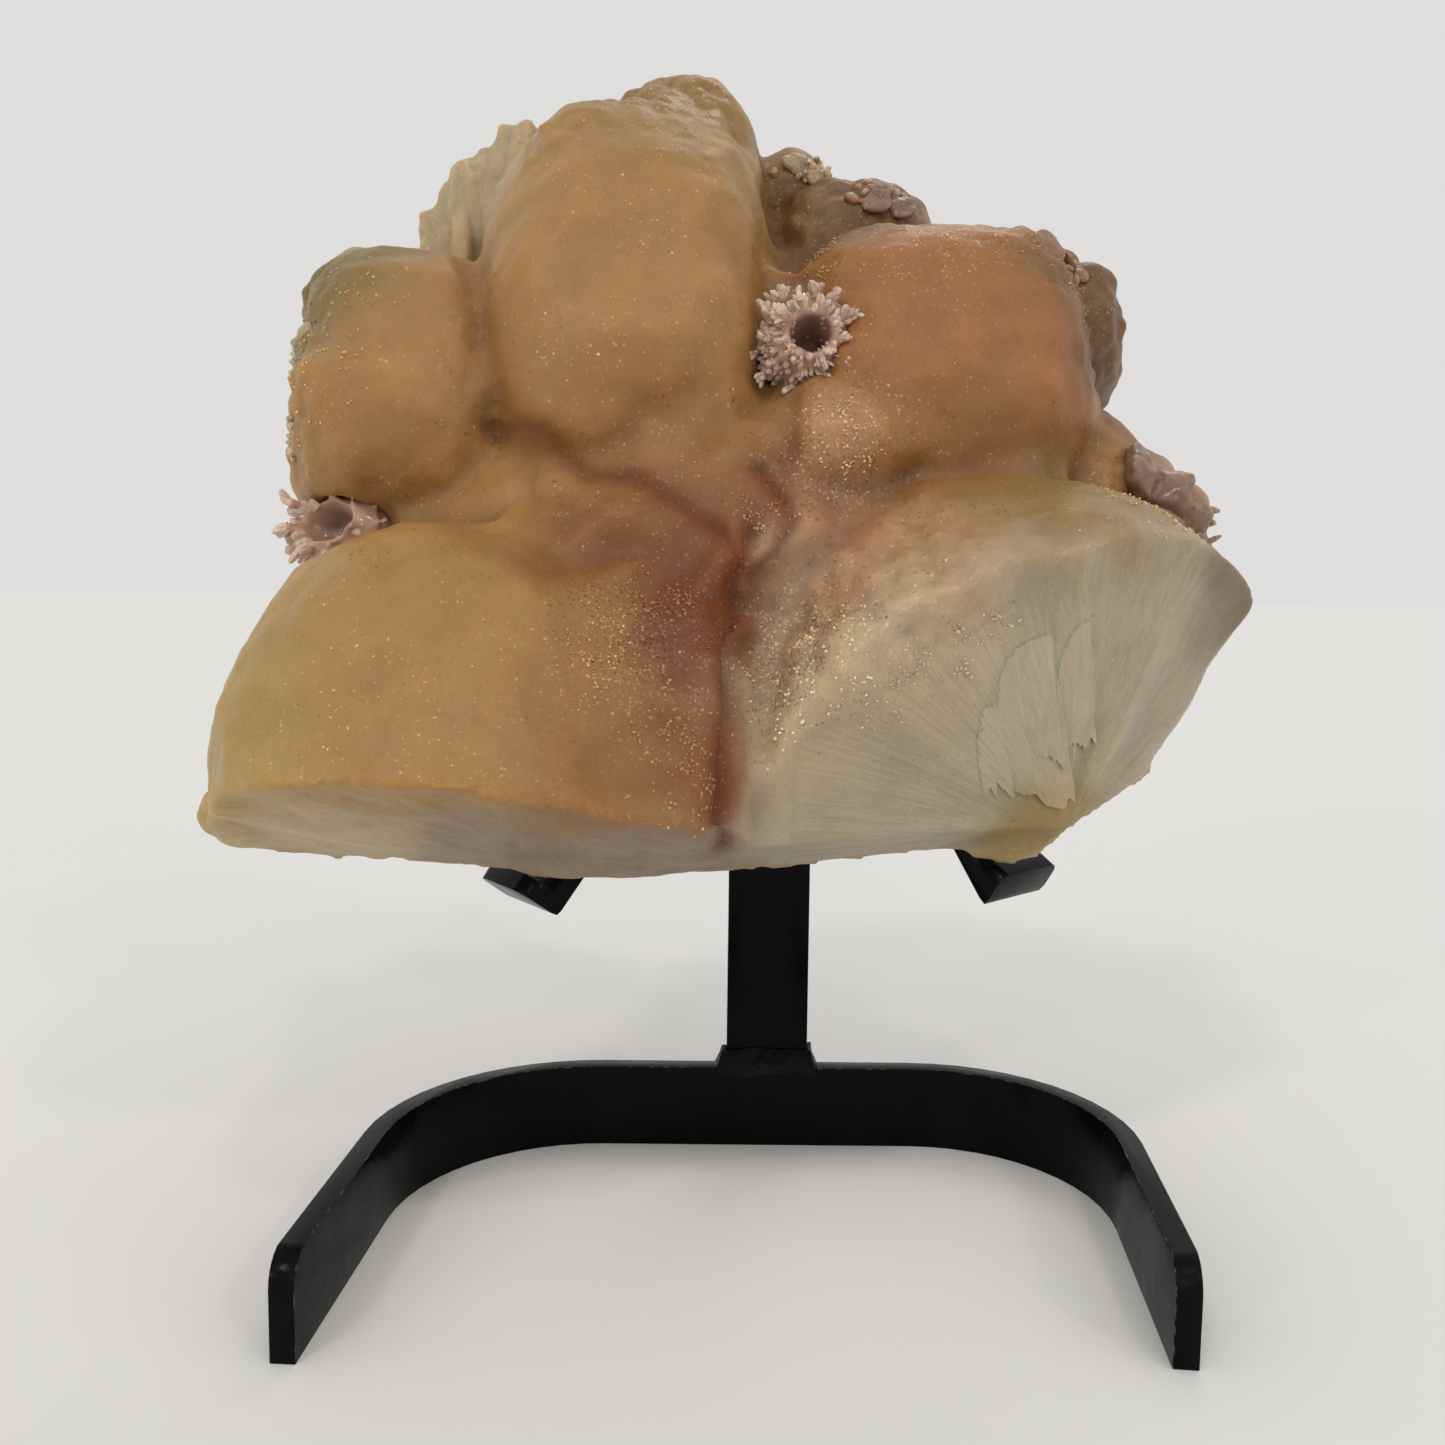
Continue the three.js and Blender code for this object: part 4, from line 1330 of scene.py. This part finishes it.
@dataclass(frozen=True)
class BrokenFace:
    """Thin sheets of fibres that stand proud of the broken face."""

    mass: Mass
    across: int = 28
    along: int = 40
    buried: float = 0.45
    out: Spot = (0.35, 0.7, -0.62)

    def build(self) -> None:
        """Makes the sheets."""
        tree = BVHTree.FromObject(self.mass.piece, bpy.context.evaluated_depsgraph_get())
        pieces = [self.sheet(sheet, tree, number) for number, sheet in enumerate(SHEETS)]
        only(*pieces)
        bpy.ops.object.join()
        piece = pieces[0]
        piece.name = piece.data.name = "broken_face_sheets"
        with editing(piece):
            bpy.ops.mesh.normals_make_consistent(inside=False)
        smooth(piece, 50)
        finish = StilbiteFinish(weight=0.12, depth=0.0004, roughness=0.36)
        hand_over(piece, finish.material("stilbite_sheets"))

    def sheet(self, sheet: Sheet, tree: BVHTree, seed: int) -> Piece:
        """Makes one sheet, from a grid laid on the ground and given its thickness.

        Args:
            sheet: its corners and build.
            tree: the ground's faces.
            seed: picks its ragged edge.

        Returns:
            The sheet.
        """
        bpy.ops.object.select_all(action="DESELECT")
        bpy.ops.mesh.primitive_grid_add(x_subdivisions=self.across, y_subdivisions=self.along, size=2)
        piece = bpy.context.object
        grid = positions(piece)
        count = len(grid)
        u, v = (grid[:, 0] + 1) / 2, (grid[:, 1] + 1) / 2
        torn, edge = np.zeros((count, 3)), np.zeros((count, 3))
        torn[:, 0] = u * 5 + seed * 3.7
        length = np.linalg.norm(np.array(sheet.far[0]) - np.array(sheet.near[0]))
        bite = sheet.ragged * (swirl(torn, 1, seed) + 0.7 * swirl(torn, 0.4, seed + 9) + 0.4) / length
        v = v + np.clip(bite, 0, 1) * (1 - v) ** 2
        edge[:, 0] = v * 6 + seed
        u = u + (2 * u - 1) * 0.05 * swirl(edge, 1, seed + 4)
        near = np.outer(1 - u, sheet.near[0]) + np.outer(u, sheet.near[1])
        far = np.outer(1 - u, sheet.far[0]) + np.outer(u, sheet.far[1])
        flat = near * (1 - v)[:, None] + far * v[:, None]
        points = SLOPE.world(np.stack([flat[:, 0], np.full(count, 90.0), flat[:, 1]], axis=1))
        inward = Vector(SLOPE.turn((0, -1, 0)))
        ground = np.array([tree.ray_cast(Vector(point), inward)[0] or Vector(point) for point in points])
        out = SLOPE.turn(self.out)
        fade = np.clip(1.1 - 1.15 * v, 0, 1) ** 0.7 * np.clip(u / 0.75, 0, 1) ** 0.8
        lift = (sheet.thick + self.buried) * fade - self.buried
        with editing(piece):
            bpy.ops.mesh.extrude_region_move()
        place(piece, np.vstack([ground - out * 0.9 * MM, ground + np.outer(lift * MM, out)]))
        spots = SLOPE.local(positions(piece))
        own = 0.5 * np.clip(1 - 1.2 * v, 0, 1) * np.clip(u * 1.6 - 0.3, 0, 1)
        own = np.tile(own, 2)[:, None]
        paint_tint(piece, self.mass.tint(spots) * (1 - own) + own * sheet.tint.linear() * self.mass.gain)
        for name, value in (("silk", 1), ("crease", 0), ("glint", 0.02)):
            paint(piece, name, np.full(len(spots), value))
        paint(piece, "fibre", self.mass.fan(spots) * 1.4)
        return piece


@dataclass(frozen=True)
class Druse:
    """A crust of small quartz prisms round a hollow.

    It replaces its node. Its middle and the way that its mouth faces are in the specimen's frame.
    Leftward is 0 for prisms all round, and 1 for larger ones on the left edge alone.
    """

    node: str
    name: str
    at: Spot
    aim: Spot
    count: int
    seed: int
    leftward: float = 0
    hole: float = 5.2
    tint: Spot = (0.92, 0.66, 0.53)
    root_tint: Spot = (0.68, 0.41, 0.3)

    @property
    def mouth(self) -> Array:
        """The way that the mouth faces, in the frame's axes."""
        return SLOPE.turn(np.array(self.aim) / np.linalg.norm(self.aim))

    def across(self, points: Array) -> Array:
        """Offsets of points from the line through the mouth, in metres."""
        away = points - SLOPE.world(self.at)[0]
        return away - np.outer(away @ self.mouth, self.mouth)

    def build(self, shapes: list[CrystalShape]) -> None:
        """Makes the crust, with painted shade inside its hollow.

        Args:
            shapes: the crystals to choose from.
        """
        base = merged_copy(self.node, self.name)
        box = [np.array(corner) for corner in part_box(self.node)]
        remesh(base, 0.9, 14)
        points = positions(base) / MM
        swell(base, 0.9 * swirl(points, 5, self.seed) - 0.5 * cells(points, 4, self.seed) + 0.2, *box)
        prisms = self.plant(base, shapes).build(*box)
        inner = np.linalg.norm(self.across(positions(base)), axis=1) / MM
        # Painted shade: the crust is darkened inside its hollow, round the mouth's line.
        paint_tint(base, (1 - 0.55 * step(inner, 6.5, 4))[:, None] * np.array(self.root_tint))
        smooth(base)
        only(base, prisms)
        bpy.ops.object.join()
        finish = quartz(clear=0.3, milk=0.3, depth=0.0008, roughness=0.17)
        hand_over(base, finish.material(self.name), self.node)

    def plant(self, base: Piece, shapes: list[CrystalShape]) -> Planting:
        """Plants the prisms on the crust's ground.

        Args:
            base: the ground.
            shapes: the crystals to choose from.

        Returns:
            The planted prisms.
        """
        centres, facing = (rows(base.data.polygons, name, 3) for name in ("center", "normal"))
        areas = rows(base.data.polygons, "area", 1)[:, 0]
        outward = self.across(centres)
        ring = np.linalg.norm(outward, axis=1) / MM
        outward = outward / np.maximum(ring, 1)[:, None] / MM
        weight = areas * (facing @ self.mouth > -0.35) * np.where(ring < 5.0, 0.12, 1)
        spots = SLOPE.local(centres) - np.array(self.at)
        left = step(spots[:, 0], -7, -10) + 0.5 * step(spots[:, 2], -5, -7)
        weight *= (1 - self.leftward) + self.leftward * left
        dice = np.random.default_rng(self.seed)
        planting = Planting(self.name + "_crystals")
        for pick in dice.choice(len(weight), self.count, p=weight / weight.sum()):
            inside = ring[pick] < self.hole
            length = (dice.uniform(0.6, 1.1) if inside else dice.uniform(1.9, 3.6)) * MM
            width = (dice.uniform(0.4, 0.7) if inside else dice.uniform(0.55, 1.05)) * MM
            length, width = length * (1 + 0.5 * self.leftward), width * (1 + 0.6 * self.leftward)
            up = 0.5 * facing[pick] + (0.0 if inside else 0.9) * outward[pick] + 0.35 * self.mouth
            up = up + dice.normal(0, 0.2, 3)
            # Painted shade: prisms inside the hollow are darkened; elsewhere their brightness varies at
            # random.
            shade = 0.6 if inside else dice.uniform(0.75, 1.2)
            tint = np.clip(np.array(self.tint) * shade, 0, 0.94)
            shape = shapes[int(dice.integers(len(shapes)))]
            root = centres[pick] - facing[pick] * 0.3 * length
            planting.add(shape, root, up, (length, width), dice.uniform(0, FULL_TURN), tint)
        return planting


@dataclass(frozen=True)
class Specimen:
    """The whole specimen: mass, sheets, glinting tips, rim quartz, quartz rosette and pocket."""

    def build(self) -> None:
        """Makes every piece of the specimen."""
        mass = Mass()
        mass.build()
        BrokenFace(mass).build()
        prism = CrystalShape.modelled(6, 0.9, 0.74, 0.3)
        stout = CrystalShape.modelled(6, 0.8, 0.6, 0.42)
        sheaf = CrystalShape.modelled(6, 0.4, 0.75, 0.45)
        blunt = CrystalShape.modelled(6, 0.85, 0.72, 0.55)
        crystals = Crystals(mass.piece)
        tips = crystals.grow("stilbite_crystal_tips", [sheaf, stout], SKIN_TIPS + CRUMBS, 0.9)
        pearly = CrystalFinish(0.24, (0.7, 1.5), (0.9, 1.1), 1500, 200, 0, {"Metallic": 0.2})
        hand_over(tips, pearly.material("stilbite_tips"))
        rim = crystals.grow("rim_quartz", [prism, stout], RIM_GROVES, 0.2, RIM_LUMPS)
        smooth(rim, 28)
        milky = quartz(clear=0.3, milk=0.7, depth=0.004, roughness=0.26)
        hand_over(rim, milky.material("rim_quartz"))
        Druse("quartz_rosette", "rosette_quartz", (6, 41, 132), (0, 1, -0.2), 560, 3).build([prism, blunt])
        pocket = Druse("quartz_pocket", "pocket_quartz", (-117, 12, 90), (-0.4, 1, -0.1), 110, 5, leftward=1)
        pocket.build([blunt, stout])


# Studio


@dataclass(frozen=True)
class Studio:
    """Pale floor, soft light and the photograph's camera.

    The eye is in millimetres, the angles in radians, and the focal length in the picture's pixels.
    """

    eye: Spot = (-18.9, -424.05, 178.97)
    yaw: float = -0.009
    pitch: float = 0.109
    roll: float = 0.013
    focal: float = 1400.1
    picture: float = 1445.0
    sensor: float = 36.0
    floor_shades: tuple[Shade, Shade] = ((0.765, 0.765, 0.76, 1), (0.79, 0.79, 0.785, 1))
    sky: Shade = (1, 0.99, 0.975, 1)
    sky_strength: float = 0.74
    warm: Spot = (1, 0.95, 0.87)

    def build(self) -> None:
        """Sets the stage."""
        self.camera()
        self.floor()
        self.lights()
        bpy.context.scene.view_settings.view_transform = "Standard"

    def camera(self) -> None:
        """Places the camera as the photograph was taken."""
        ahead = Vector((-math.sin(self.yaw), math.cos(self.yaw), 0)) * math.cos(self.pitch)
        ahead.z = -math.sin(self.pitch)
        right = Vector((math.cos(self.yaw), math.sin(self.yaw), 0))
        up = right.cross(ahead)
        c, s = math.cos(self.roll), math.sin(self.roll)
        right, up = right * c + up * s, up * c - right * s
        data = bpy.data.cameras.new("photo_camera")
        data.sensor_width = self.sensor
        data.lens = self.focal / self.picture * self.sensor
        data.clip_start = 0.01
        camera = shown("photo_camera", data)
        turn = Matrix((right, up, -ahead)).transposed().to_4x4()
        camera.matrix_world = Matrix.Translation(Vector(self.eye) * MM) @ turn
        bpy.context.scene.camera = camera

    def floor(self) -> None:
        """Lays the pale floor."""
        bpy.ops.object.select_all(action="DESELECT")
        bpy.ops.mesh.primitive_circle_add(vertices=96, radius=9, fill_type="NGON")
        floor = bpy.context.object
        floor.name = "studio_floor"
        material, build, shader = new_material("pale_floor")
        color = build.mix(build.noise(build.here(), 3.0), *self.floor_shades)
        build.feed(shader, {"Base Color": color, "Roughness": 0.9, "Specular IOR Level": 0.1})
        floor.data.materials.append(material)

    def lights(self) -> None:
        """Hangs the soft lights."""
        world = bpy.data.worlds.new("studio")
        world.use_nodes = True
        sky = world.node_tree.nodes["Background"].inputs
        sky["Color"].default_value, sky["Strength"].default_value = self.sky, self.sky_strength
        bpy.context.scene.world = world
        self.lamp("key_light", (-0.5, -0.9, 1.1), 6, 0.32)
        self.lamp("back_light", (0.3, 0.9, 1.2), 20, 0.2)
        glints = ((-0.9, 0.5, 0.15), (0.8, 0.9, 0.2), (0.05, 0.45, 0.15), (0.35, 1.6, 0.17), (1.3, 0.3, 0.1))
        for number, (side, rise, power) in enumerate(glints):
            self.lamp(f"glint_light_{number + 1}", (side, -1.0, rise), 4.0, power)

    def lamp(self, name: str, at: Spot, angle: float, power: float) -> None:
        """Hangs one far lamp that shines on the specimen.

        Args:
            name: the lamp's name.
            at: where it shines from.
            angle: its width in degrees.
            power: its strength.
        """
        data = bpy.data.lights.new(name, "SUN")
        data.angle, data.energy, data.color = math.radians(angle), power, self.warm
        lamp = shown(name, data)
        lamp.location = at
        lamp.rotation_euler = (-Vector(at)).to_track_quat("-Z", "Y").to_euler()


def main() -> None:
    """Builds the stand, the specimen and the studio, in that order."""
    logging.basicConfig(level=logging.INFO, format="%(name)s %(message)s")
    facet_group()
    grain_group()
    Stand().build()
    Specimen().build()
    Studio().build()


if __name__ == "__main__":
    main()
